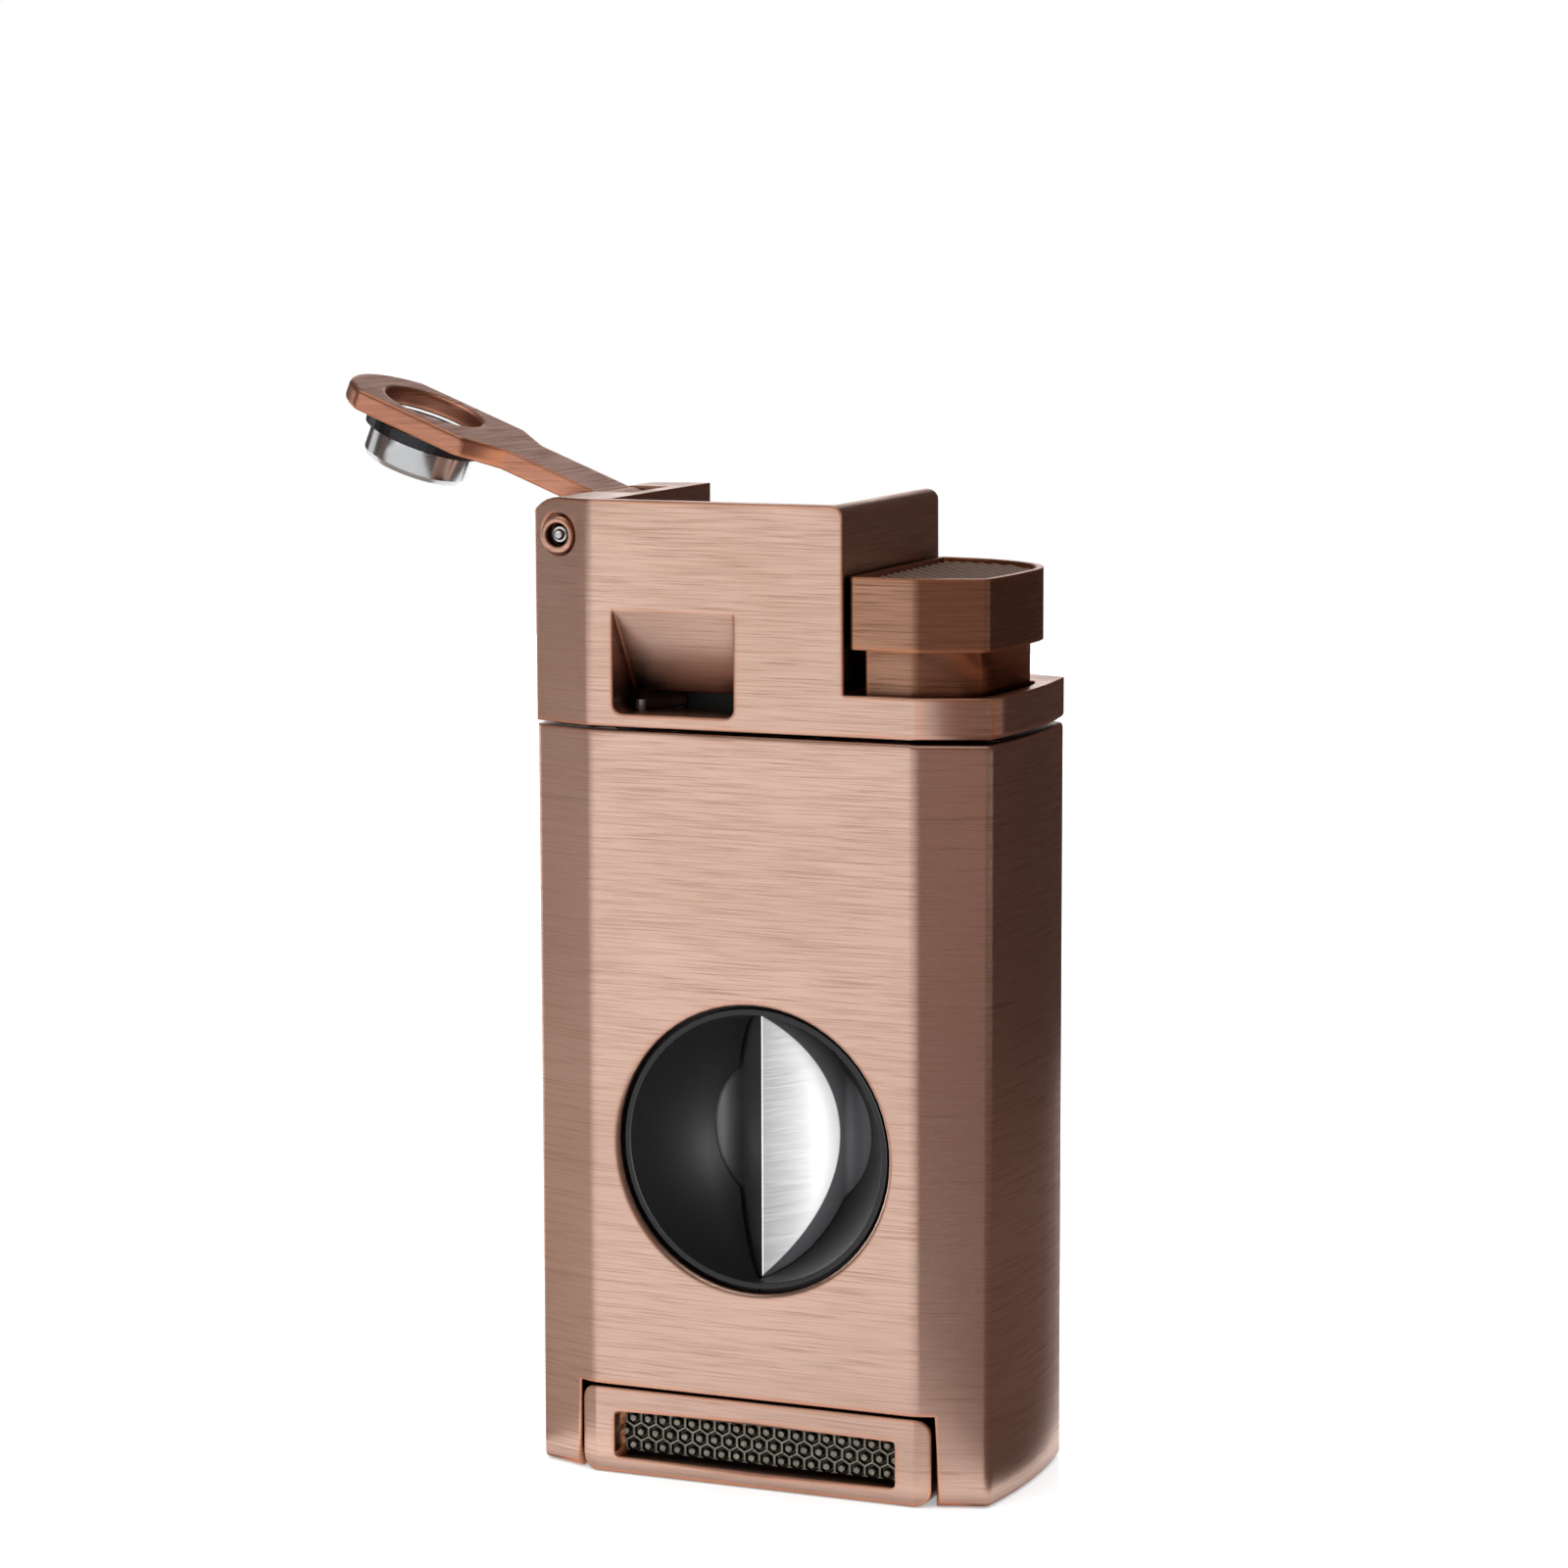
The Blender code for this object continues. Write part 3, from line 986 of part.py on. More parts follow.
def punch_slot_cutters():
    """Room for the arm to hang down the left side and swing out about its pin."""
    half = ARM_HALF + PADDLE_SLIP + TRAY_WALL / 2
    wide = PADDLE_HALF + PADDLE_SLIP
    shoulder_z = PIN_Z - (PUNCH_REACH - SHOULDER_START)
    taper_z = shoulder_z + SHOULDER
    outline = [(ARM_Y - wide, 0), (ARM_Y + wide, 0), (ARM_Y + wide, shoulder_z + SLIP),
               (ARM_Y + half, taper_z + SLIP),
               (ARM_Y + half, OPEN_AIR), (ARM_Y - half, OPEN_AIR), (ARM_Y - half, taper_z + SLIP),
               (ARM_Y - wide, shoulder_z + SLIP)]
    hang = plate("arm_channel", outline, -OPEN_AIR, TRAY_FLOOR_X, axis="X")
    slot_half = ARM_HALF + GAP
    room = KNUCKLE_RADIUS + GAP
    knuckle = bar("knuckle_room", "Y", (PIN_X, PIN_Z), room, ARM_Y - slot_half, ARM_Y + slot_half, sides=40)
    above = block("knuckle_top", (PIN_X, ARM_Y - slot_half, PIN_Z),
                  (PIN_X + room, ARM_Y + slot_half, OPEN_AIR))
    cup = bar("punch_room", "X", (ARM_Y, STOWED_Z), PUNCH_POCKET_RADIUS, -OPEN_AIR, PUNCH_POCKET_X, sides=40)
    pin = bar("pin_hole", "Y", (PIN_X, PIN_Z), PIN_RADIUS + GAP, -OPEN_AIR, OPEN_AIR, sides=20)
    recess = BUSH_RADIUS + GAP
    front = bar("front_bush_seat", "Y", (PIN_X, PIN_Z), recess, -OPEN_AIR, -BUSH_SEAT, sides=32)
    rear = bar("rear_bush_seat", "Y", (PIN_X, PIN_Z), recess, BUSH_SEAT, OPEN_AIR, sides=32)
    return [hang, knuckle, above, cup, pin, front, rear]


def make_hinge_pin():
    pin = bar("hinge_pin", "Y", (PIN_X, PIN_Z), PIN_RADIUS, -PIN_FACE, PIN_FACE, sides=20)
    return finish_part(pin, STEEL)


def make_hinge_bushes():
    """A ring round each end of the pin, its face cut to the slope of the corner band."""
    bore = PIN_RADIUS + GAP
    for name, low in (("hinge_bush_front", -BACK), ("hinge_bush_rear", BUSH_SEAT + GAP)):
        high = low + BACK - BUSH_SEAT - GAP
        profile = [(bore, high), (BUSH_RADIUS, high), (BUSH_RADIUS, low), (bore, low)]
        bush = turned(name, profile, sides=28, axis="Y", place=(PIN_X, 0, PIN_Z))
        trim(bush, plate("band_slope", casing_outline(0.1 * MM), 0.0, HEIGHT))
        finish_part(bush, COPPER)


# ---------------------------------------------------------------- fold-out punch

def make_pivot():
    """The empty on the hinge pin that carries the arm, the punch and their cutters."""
    pivot = bpy.data.objects.new("punch_pivot", None)
    pivot.location = (PIN_X, 0, PIN_Z)
    pivot.rotation_euler = (0, ARM_LIFT, 0)
    PARTS.objects.link(pivot)
    return pivot


def make_punch_arm(pivot):
    """A paddle on a narrower arm: the arm points along -X of the pivot."""
    edge = math.degrees(math.asin(PADDLE_HALF / PADDLE_RADIUS))
    tip = arc((-PUNCH_REACH, ARM_Y), PADDLE_RADIUS, 180 - edge, 180 + edge, 12)
    root = -PUNCH_REACH + SHOULDER_START + SHOULDER
    shoulder = -PUNCH_REACH + SHOULDER_START
    outline = [(0, ARM_Y - ARM_HALF), (0, ARM_Y + ARM_HALF), (root, ARM_Y + ARM_HALF),
               (shoulder, ARM_Y + PADDLE_HALF), *tip, (shoulder, ARM_Y - PADDLE_HALF),
               (root, ARM_Y - ARM_HALF)]
    arm = plate("punch_arm", outline, ARM_BOTTOM, ARM_TOP)
    knuckle = bar("arm_knuckle", "Y", (0, 0), KNUCKLE_RADIUS, ARM_Y - ARM_HALF, ARM_Y + ARM_HALF, sides=40)
    bore = bar("arm_bore", "Z", (-PUNCH_REACH, ARM_Y), BORE_RADIUS, -BACK, BACK, sides=48)
    hole = bar("arm_pin_hole", "Y", (0, 0), PIN_RADIUS + GAP, -BACK, BACK, sides=20)
    join(arm, knuckle)
    cut(arm, bore, hole)
    for piece in (arm, knuckle, bore, hole):
        piece.parent = pivot
    return finish_part(arm, COPPER)


def make_punch_tube(pivot):
    inner = PUNCH_INNER
    outer = inner + PUNCH_WALL
    top = ARM_BOTTOM - GAP
    low = top - PUNCH_LENGTH
    profile = [(inner, top), (outer, top), (outer, low + PUNCH_BEVEL), (inner + 0.1 * MM, low), (inner, low)]
    tube = turned("punch_tube", profile, sides=48, place=(-PUNCH_REACH, ARM_Y, 0))
    tube.parent = pivot
    return finish_part(tube, STEEL)


def make_punch_collar(pivot):
    outer = COLLAR_OUTER
    inner = outer - COLLAR_WALL
    top = ARM_BOTTOM - GAP
    low = top - COLLAR_HEIGHT
    profile = [(inner, top), (outer, top), (outer - 0.1 * MM, low), (inner, low)]
    collar = turned("punch_collar", profile, sides=48, place=(-PUNCH_REACH, ARM_Y, 0))
    collar.parent = pivot
    return finish_part(collar, DARK_STEEL)


# ---------------------------------------------------------------- button and piezo

def make_button_cap():
    """The copper cap and its hollow neck, with a recess for the grip pad."""
    cap = plate("button_cap", button_outline(), BUTTON_LOW, BUTTON_HIGH)
    neck = plate("button_neck", button_outline(NECK_INSET), NECK_LOW, BUTTON_LOW + MM)
    trim(neck, block("neck_back", (0, -OPEN_AIR, 0), (OPEN_AIR, NECK_BACK, OPEN_AIR)))
    join(cap, neck)
    roof = BUTTON_HIGH - PAD_DEPTH - BUTTON_ROOF
    hollow = plate("neck_hollow", button_outline(NECK_INSET + BUTTON_WALL), 0.0, roof)
    hollow_back = NECK_BACK - BUTTON_WALL
    trim(hollow, block("hollow_back", (0, -OPEN_AIR, -MM), (OPEN_AIR, hollow_back, OPEN_AIR)))
    cut(cap, hollow)
    cut(cap, plate("pad_recess", button_outline(RIM_WIDTH), BUTTON_HIGH - PAD_DEPTH, OPEN_AIR))
    cut(cap, block("rocker_gate", (TALL_X, LEVER_ARM_Y - 1.0 * MM, 0),
                   (TALL_X + 3.0 * MM, LEVER_ARM_Y + 1.0 * MM, NECK_LOW + 1.7 * MM)))
    return finish_part(cap, COPPER)


def make_grip_pad():
    low = BUTTON_HIGH - PAD_DEPTH + GAP
    pad = plate("grip_pad", button_outline(RIM_WIDTH + GAP), low, low + PAD_THICK)
    return finish_part(pad, BROWN_PLASTIC)


def make_button_carrier():
    """The moulded block in the neck that pushes the plunger and the rocker."""
    outline = button_outline(NECK_INSET + BUTTON_WALL + GAP)
    carrier = plate("button_carrier", outline, CARRIER_LOW, CARRIER_LOW + CARRIER_THICK)
    back = NECK_BACK - BUTTON_WALL - GAP
    trim(carrier, block("carrier_back", (0, -OPEN_AIR, 0), (OPEN_AIR, back, OPEN_AIR)))
    end = LEVER_X + LEVER_REACH
    nub_low = LEVER_Z + LEVER_THICK / 2 + SLIP
    join(carrier, block("rocker_nub", (end - 0.7 * MM, LEVER_ARM_Y - 0.4 * MM, nub_low),
                        (end + 0.1 * MM, LEVER_ARM_Y + 0.4 * MM, CARRIER_LOW + MM)))
    return finish_part(carrier, BLACK_PLASTIC)


def make_piezo_housing():
    low = (PIEZO_X - PIEZO_HALF, PIEZO_Y - PIEZO_HALF, PIEZO_LOW)
    housing = block("piezo_housing", low, (PIEZO_X + PIEZO_HALF, PIEZO_Y + PIEZO_HALF, PIEZO_HIGH), EDGE)
    cut(housing, bar("plunger_bore", "Z", (PIEZO_X, PIEZO_Y), PLUNGER_RADIUS + GAP,
                     PLUNGER_LOW - BUTTON_TRAVEL - 0.8 * MM, OPEN_AIR, sides=20))
    return finish_part(housing, BLACK_PLASTIC)


def make_piezo_plunger():
    top = CARRIER_LOW - GAP
    profile = [(0, top), (PLUNGER_RADIUS, top), (PLUNGER_RADIUS, PLUNGER_LOW), (0, PLUNGER_LOW)]
    return finish_part(turned("piezo_plunger", profile, sides=20, place=(PIEZO_X, PIEZO_Y, 0)), RED_PLASTIC)


def make_button_spring():
    """A compression spring round the plunger, between the piezo and the carrier."""
    low = PIEZO_HIGH + GAP + SPRING_WIRE
    high = CARRIER_LOW - GAP - SPRING_WIRE
    steps = SPRING_TURNS * SPRING_SIDES
    points = []
    for step in range(steps + 1):
        turn = 2 * math.pi * step / SPRING_SIDES
        points.append((PIEZO_X + SPRING_RADIUS * math.cos(turn), PIEZO_Y + SPRING_RADIUS * math.sin(turn),
                       low + (high - low) * step / steps))
    return finish_part(wire("button_spring", points, SPRING_WIRE), STEEL)


# ---------------------------------------------------------------- fasteners

def make_screws():
    below_face = 0.1 * MM
    screw_set("base_screw", TANK_POSTS, "Z", below_face, TANK_LOW + LUG_HEIGHT - 0.8 * MM)
    screw_set("drawer_screw", DRAWER_SCREWS, "Z", below_face, SLIDER_LOW + FOOT_HEIGHT - 0.8 * MM)
    screw_set("chassis_screw", CORNER_POSTS, "Z", CHASSIS_HIGH - below_face, CHASSIS_LOW - 5.5 * MM)
    under_plate = CHASSIS_LOW - GAP - HEAD_TALL
    screw_set("head_screw", HEAD_POSTS, "Z", under_plate, LEDGE_Z - 1.4 * MM, head=SCREW_HEAD - 0.2 * MM)
    posts = [(side * POST_X, height) for side in (-1, 1) for height in POST_HEIGHTS]
    back = BACKPLATE_BACK + GAP + HEAD_TALL
    screw_set("backplate_screw", posts, "Y", back, SLIDER_FRONT - 3.4 * MM)


clear_scene()
PARTS = new_collection("cigar_torch")
CUTTERS = new_collection("cutters")
make_body_shell()
make_punch_pocket_liner()
make_drawer_cap()
make_grip_insert()
make_v_blade()
make_cutter_slider()
make_blade_rivets()
make_cutter_cup()
make_cutter_backplate()
make_detent_leaf()
make_fuel_tank()
make_fill_valve()
make_fill_stem()
make_flame_adjuster()
make_gas_valve()
make_valve_stem()
make_chassis_plate()
make_gas_lever()
make_lever_pin()
make_burner_base()
make_burner_block()
make_nozzles()
make_flame_plate()
make_spark_electrode()
make_electrode_insulator()
make_gas_tube()
make_ignition_lead()
make_head_shell()
make_hinge_pin()
make_hinge_bushes()
arm_pivot = make_pivot()
make_punch_arm(arm_pivot)
make_punch_tube(arm_pivot)
make_punch_collar(arm_pivot)
make_button_cap()
make_grip_pad()
make_button_carrier()
make_piezo_housing()
make_piezo_plunger()
make_button_spring()
make_screws()
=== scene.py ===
"""Studio scene for a pocket cigar torch: antique copper castings, a V-blade and a punch."""
import math

import bmesh
import bpy
import numpy as np
from mathutils import Matrix, Vector


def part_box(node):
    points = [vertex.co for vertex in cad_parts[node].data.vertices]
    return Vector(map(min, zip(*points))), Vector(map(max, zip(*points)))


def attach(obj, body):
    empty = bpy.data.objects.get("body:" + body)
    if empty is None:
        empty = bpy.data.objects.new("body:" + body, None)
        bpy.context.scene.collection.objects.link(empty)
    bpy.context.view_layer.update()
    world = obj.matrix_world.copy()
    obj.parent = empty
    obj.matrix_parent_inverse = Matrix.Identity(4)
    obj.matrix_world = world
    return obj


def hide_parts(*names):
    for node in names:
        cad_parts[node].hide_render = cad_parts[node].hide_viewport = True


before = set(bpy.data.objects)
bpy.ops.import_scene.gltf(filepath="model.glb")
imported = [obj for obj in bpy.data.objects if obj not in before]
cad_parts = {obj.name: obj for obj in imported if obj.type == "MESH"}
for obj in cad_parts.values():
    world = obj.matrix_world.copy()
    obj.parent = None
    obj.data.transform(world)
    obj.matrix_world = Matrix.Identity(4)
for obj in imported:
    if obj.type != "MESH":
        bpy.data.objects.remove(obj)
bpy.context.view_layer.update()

MM = 0.001
WINDOW_Z = 27.9 * MM
WINDOW_RADIUS = 11.8 * MM
FLAT_Y = 10.5 * MM    # half depth of the casing, at its flat front and back
BAND_X = 14.0 * MM    # where the flats turn into the corner bands
SIDE_X = 19.7 * MM    # where the bands turn into the bowed sides
SIDE_Y = 8.5 * MM
BOW = 0.7 * MM        # how far each side swells at its middle
SEAM_Z = 61.6 * MM    # where the head sits on the body
HINGE = (-17.2 * MM, 0.0, 77.0 * MM)


# ---------------------------------------------------------------- colours and nodes

def linear(hex_colour):
    """An sRGB hex colour as the linear colour that shaders work in."""
    values = np.array([int(hex_colour[i:i + 2], 16) for i in (1, 3, 5)]) / 255
    low = values / 12.92
    high = ((values + 0.055) / 1.055) ** 2.4
    return (*[float(v) for v in np.where(values <= 0.04045, low, high)], 1.0)


def add_node(tree, kind, settings=None, links=None, stops=()):
    """Add a node, set its sockets, properties and ramp stops, and link its inputs."""
    node = tree.nodes.new(kind)
    for name, value in (settings or {}).items():
        if isinstance(name, int) or name in node.inputs:
            node.inputs[name].default_value = value
        else:
            setattr(node, name, value)
    for name, socket in (links or {}).items():
        tree.links.new(socket, node.inputs[name])
    if stops:
        band = node.color_ramp.elements
        for _ in stops[2:]:
            band.new(0.5)
        for element, (place, colour) in zip(band, stops):
            element.position = place
            element.color = linear(colour)
    return node


def new_finish(name, colour, metallic, roughness):
    """A material with its shader's plain values set on the shader itself."""
    material = bpy.data.materials.new(name)
    material.use_nodes = True
    tree = material.node_tree
    shader = tree.nodes["Principled BSDF"]
    shader.inputs["Base Color"].default_value = linear(colour)
    shader.inputs["Metallic"].default_value = metallic
    shader.inputs["Roughness"].default_value = roughness
    return material, tree, shader


def grain(tree, spacing, stretch, detail=4.0):
    """Noise with the given spacing, drawn out by a stretch on each axis."""
    place = add_node(tree, "ShaderNodeTexCoord").outputs["Object"]
    scaled = add_node(tree, "ShaderNodeMapping", {"Scale": tuple(1 / s for s in stretch)},
                      {"Vector": place})
    return add_node(tree, "ShaderNodeTexNoise",
                    {"Scale": 1 / spacing, "Detail": detail, "Roughness": 0.6},
                    {"Vector": scaled.outputs["Vector"]}).outputs["Fac"]


def edge_wear(tree, radius):
    """How near an edge is: one minus the agreement of the face with its rounded normal."""
    rounded = add_node(tree, "ShaderNodeBevel", {"samples": 6, "Radius": radius})
    face = add_node(tree, "ShaderNodeNewGeometry")
    agree = add_node(tree, "ShaderNodeVectorMath", {"operation": "DOT_PRODUCT"},
                     {0: rounded.outputs["Normal"], 1: face.outputs["True Normal"]})
    return add_node(tree, "ShaderNodeMapRange", {"From Min": 0.998, "From Max": 0.90},
                    {"Value": agree.outputs["Value"]}).outputs["Result"]


def surface_from(tree, shader, pattern, dull, shiny, strength=0.0, depth=0.02 * MM, normal=None):
    """Let a pattern run the roughness from dull to shiny, and stand proud as a bump."""
    rough = add_node(tree, "ShaderNodeMapRange",
                     {"From Min": 0.3, "From Max": 0.7, "To Min": dull, "To Max": shiny},
                     {"Value": pattern})
    tree.links.new(rough.outputs["Result"], shader.inputs["Roughness"])
    if strength:
        links = {"Height": pattern} if normal is None else {"Height": pattern, "Normal": normal}
        bump = add_node(tree, "ShaderNodeBump", {"Strength": strength, "Distance": depth}, links)
        tree.links.new(bump.outputs["Normal"], shader.inputs["Normal"])


# ---------------------------------------------------------------- finishes

def antique_copper(name, bright, mid, smoky, edge, rough=0.34):
    """Zinc casting, copper plated, darkened and then brushed flatwise.

    The brushing leaves pale horizontal hairlines over a browner patina, the rubbed edges show
    bare orange copper and the corners that the brush misses stay red-brown.
    """
    material, tree, shader = new_finish(name, mid, 1.0, rough)
    hair = grain(tree, 0.10 * MM, (60.0, 60.0, 1.0), 3.0)
    streak = grain(tree, 0.42 * MM, (26.0, 26.0, 1.0), 5.0)
    cloud = grain(tree, 14.0 * MM, (1.6, 1.6, 1.0), 2.0)
    lines = add_node(tree, "ShaderNodeValToRGB", links={"Fac": hair},
                     stops=((0.30, mid), (0.52, bright), (0.75, bright)))
    darker = add_node(tree, "ShaderNodeMapRange",
                      {"From Min": 0.58, "From Max": 0.80, "To Max": 0.35}, {"Value": streak})
    brushed = add_node(tree, "ShaderNodeMix", {"data_type": "RGBA", 7: linear(smoky)},
                       {0: darker.outputs["Result"], 6: lines.outputs["Color"]})
    patina = add_node(tree, "ShaderNodeMapRange",
                      {"From Min": 0.42, "From Max": 0.72, "To Max": 0.35}, {"Value": cloud})
    aged = add_node(tree, "ShaderNodeMix", {"data_type": "RGBA", 7: linear(mid)},
                    {0: patina.outputs["Result"], 6: brushed.outputs[2]})
    # The hollows that a brush can't reach keep the red-brown of the bath.
    shade = add_node(tree, "ShaderNodeAmbientOcclusion", {"samples": 8, "Distance": 3.2 * MM})
    hollow = add_node(tree, "ShaderNodeMapRange",
                      {"From Min": 0.80, "From Max": 0.40, "To Max": 0.92},
                      {"Value": shade.outputs["AO"]})
    deep = add_node(tree, "ShaderNodeMix", {"data_type": "RGBA", 7: linear("#3E241C")},
                    {0: hollow.outputs["Result"], 6: aged.outputs[2]})
    # Handling rubs the edges, in patches that follow the streaks.
    patches = add_node(tree, "ShaderNodeMapRange",
                       {"From Min": 0.30, "From Max": 0.62, "To Min": 1.0, "To Max": 0.55},
                       {"Value": streak})
    rubbed = add_node(tree, "ShaderNodeMath", {"operation": "MULTIPLY"},
                      {0: edge_wear(tree, 0.7 * MM), 1: patches.outputs["Result"]})
    final = add_node(tree, "ShaderNodeMix", {"data_type": "RGBA", 7: linear(edge)},
                     {0: rubbed.outputs[0], 6: deep.outputs[2]})
    tree.links.new(final.outputs[2], shader.inputs["Base Color"])
    # A rounded normal under the bump makes even the mesh's sharp corners catch the light.
    soft = add_node(tree, "ShaderNodeBevel", {"samples": 6, "Radius": 0.35 * MM})
    surface_from(tree, shader, hair, rough + 0.08, rough - 0.06, 0.22,
                 normal=soft.outputs["Normal"])
    return material


def polished_steel(name, colour, rough):
    """Hardened steel, ground and polished: fine grind lines only just catch the light."""
    material, tree, shader = new_finish(name, colour, 1.0, rough)
    lines = grain(tree, 0.15 * MM, (30.0, 30.0, 1.0), 2.0)
    surface_from(tree, shader, lines, rough + 0.05, rough - 0.04, 0.06, 0.01 * MM)
    return material


def blade_steel_with_painted_shade(name):
    """Bright ground blade steel with painted shade laid over it.

    Past an arc it is painted dark grey, a painted reflection of the black dish rim,
    and its left half is painted darker as shade.
    """
    material = polished_steel(name, "#F0F1F2", 0.5)
    tree = material.node_tree
    place = add_node(tree, "ShaderNodeTexCoord").outputs["Object"]
    # Painted reflection: past an arc about (-11.4, 27.9) mm the steel is painted dark grey
    # (#59595C), standing for the black dish rim mirrored in the blade.
    upright = add_node(tree, "ShaderNodeVectorMath",
                       {"operation": "MULTIPLY", 1: (1.0, 0.0, 1.0)}, {0: place})
    away = add_node(tree, "ShaderNodeVectorMath",
                    {"operation": "DISTANCE", 1: (-11.4 * MM, 0.0, WINDOW_Z)},
                    {0: upright.outputs["Vector"]})
    painted_shade_past_arc = add_node(tree, "ShaderNodeMapRange",
                       {"From Min": 15.60 * MM, "From Max": 15.68 * MM},
                       {"Value": away.outputs["Value"]})
    across = add_node(tree, "ShaderNodeSeparateXYZ", links={"Vector": place})
    # Painted shade: where x falls below zero the blade is painted darker grey (#4A4A4D),
    # standing for the shade on the left facet of the V.
    left = add_node(tree, "ShaderNodeMapRange",
                    {"From Min": -0.02 * MM, "From Max": -0.12 * MM, "To Max": 0.8},
                    {"Value": across.outputs["X"]})
    ground = add_node(tree, "ShaderNodeMix",
                      {"data_type": "RGBA", 6: linear("#F0F1F2"), 7: linear("#4A4A4D")},
                      {0: left.outputs["Result"]})
    final = add_node(tree, "ShaderNodeMix", {"data_type": "RGBA", 7: linear("#59595C")},
                     {0: painted_shade_past_arc.outputs["Result"], 6: ground.outputs[2]})
    tree.links.new(final.outputs[2], tree.nodes["Principled BSDF"].inputs["Base Color"])
    return material


def painted_satin(name, colour, rough, grit=0.12 * MM, strength=0.12, metallic=0.0):
    """Satin lacquer or moulded plastic: a very fine grit that softens the highlight."""
    material, tree, shader = new_finish(name, colour, metallic, rough)
    fine = grain(tree, grit, (1.0, 1.0, 1.0), 3.0)
    surface_from(tree, shader, fine, rough + 0.06, rough - 0.06, strength)
    return material


def cast_pewter(name):
    """Pewter insert, cast and blackened: studs rubbed grey, hollows left black."""
    material, tree, shader = new_finish(name, "#8A8678", 0.85, 0.42)
    speck = grain(tree, 0.2 * MM, (1.0, 1.0, 1.0), 3.0)
    metal = add_node(tree, "ShaderNodeValToRGB", links={"Fac": speck},
                     stops=((0.3, "#6E6A5E"), (0.7, "#A09C8C")))
    shade = add_node(tree, "ShaderNodeAmbientOcclusion", {"samples": 8, "Distance": 0.7 * MM})
    hollow = add_node(tree, "ShaderNodeMapRange", {"From Min": 0.92, "From Max": 0.45},
                      {"Value": shade.outputs["AO"]})
    final = add_node(tree, "ShaderNodeMix", {"data_type": "RGBA", 7: linear("#0C0B0A")},
                     {0: hollow.outputs["Result"], 6: metal.outputs["Color"]})
    tree.links.new(final.outputs[2], shader.inputs["Base Color"])
    surface_from(tree, shader, speck, 0.5, 0.34)
    return material


COPPER = antique_copper("antique_copper_plated_casting",
                        "#DEBCAC", "#C69E8B", "#75503F", "#E0946C")
PATINA = antique_copper("antique_copper_heavy_patina",
                        "#B58A72", "#8A6450", "#4A3228", "#D48E68", 0.36)
RUBBED = antique_copper("antique_copper_rubbed_smooth",
                        "#CC927A", "#B0765F", "#7A4A38", "#E0946C", 0.38)
BLADE = blade_steel_with_painted_shade("ground_blade_steel")
PUNCH = polished_steel("polished_punch_steel", "#BEBFC1", 0.17)
DARK_STEEL = polished_steel("blackened_steel", "#3A3A3C", 0.30)
PLAIN_STEEL = polished_steel("zinc_plated_steel", "#A8A9AB", 0.30)
BRASS = polished_steel("machined_brass", "#C9A560", 0.28)
BLACK_SATIN = painted_satin("black_satin_lacquer", "#0B0B0C", 0.50)
BLACK_PLASTIC = painted_satin("moulded_black_nylon", "#141415", 0.5)
CLEAR_PLASTIC = painted_satin("smoked_clear_nylon", "#8E9496", 0.25)
RED_PLASTIC = painted_satin("red_silicone_sleeve", "#8A1A12", 0.5)
RUBBER = painted_satin("brown_moulded_pad", "#6E584C", 0.42, 0.15 * MM, 0.25, 0.3)
PEWTER = cast_pewter("blackened_cast_pewter")
CERAMIC = painted_satin("white_alumina_ceramic", "#E6E2DA", 0.4)


# ---------------------------------------------------------------- surfaces

def new_piece(name, points, faces, finish, body, node):
    """Put points and faces into a mesh, turn its faces outwards, and stand it for a CAD node."""
    mesh = bpy.data.meshes.new(name)
    mesh.from_pydata([tuple(p) for p in np.asarray(points).tolist()], [], faces)
    shape = bmesh.new()
    shape.from_mesh(mesh)
    bmesh.ops.remove_doubles(shape, verts=shape.verts, dist=1e-7)
    bmesh.ops.recalc_face_normals(shape, faces=shape.faces)
    shape.to_mesh(mesh)
    shape.free()
    return show_piece(name, mesh, finish, body, node)


def show_piece(name, mesh, finish, body, node, sharp=35.0):
    """Make a mesh a visible piece that rides a body and stands for a CAD node."""
    mesh.materials.clear()
    mesh.materials.append(finish)
    mesh.shade_smooth()
    mesh.set_sharp_from_angle(angle=math.radians(sharp))
    piece = bpy.data.objects.new(name, mesh)
    bpy.context.scene.collection.objects.link(piece)
    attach(piece, body)
    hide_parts(node)
    return piece


def grid_faces(rows, columns, wrap_rows=False, wrap_columns=False):
    """Quads between the points of a grid, wrapped round where it closes on itself."""
    r = np.arange(rows if wrap_rows else rows - 1)
    c = np.arange(columns if wrap_columns else columns - 1)
    r, c = np.meshgrid(r, c, indexing="ij")
    up, over = (r + 1) % rows, (c + 1) % columns
    quads = np.stack([r * columns + c, r * columns + over,
                      up * columns + over, up * columns + c], -1)
    return quads.reshape(-1, 4).tolist()


def turned_surface(profile, centre, axis, side, steps=96):
    """A closed (radius, height) profile turned about an axis.

    Point = centre + height * axis + radius * (cos(turn) * side + sin(turn) * (axis x side)).
    """
    axis, side, centre = (np.array(v, dtype=float) for v in (axis, side, centre))
    other = np.cross(axis, side)
    radius, height = np.array(profile, dtype=float).T
    turn = np.linspace(0, 2 * np.pi, steps, endpoint=False)
    ring = np.cos(turn)[:, None] * side + np.sin(turn)[:, None] * other
    points = (centre + height[:, None, None] * axis + radius[:, None, None] * ring[None])
    return points.reshape(-1, 3), grid_faces(len(profile), steps, True, True)


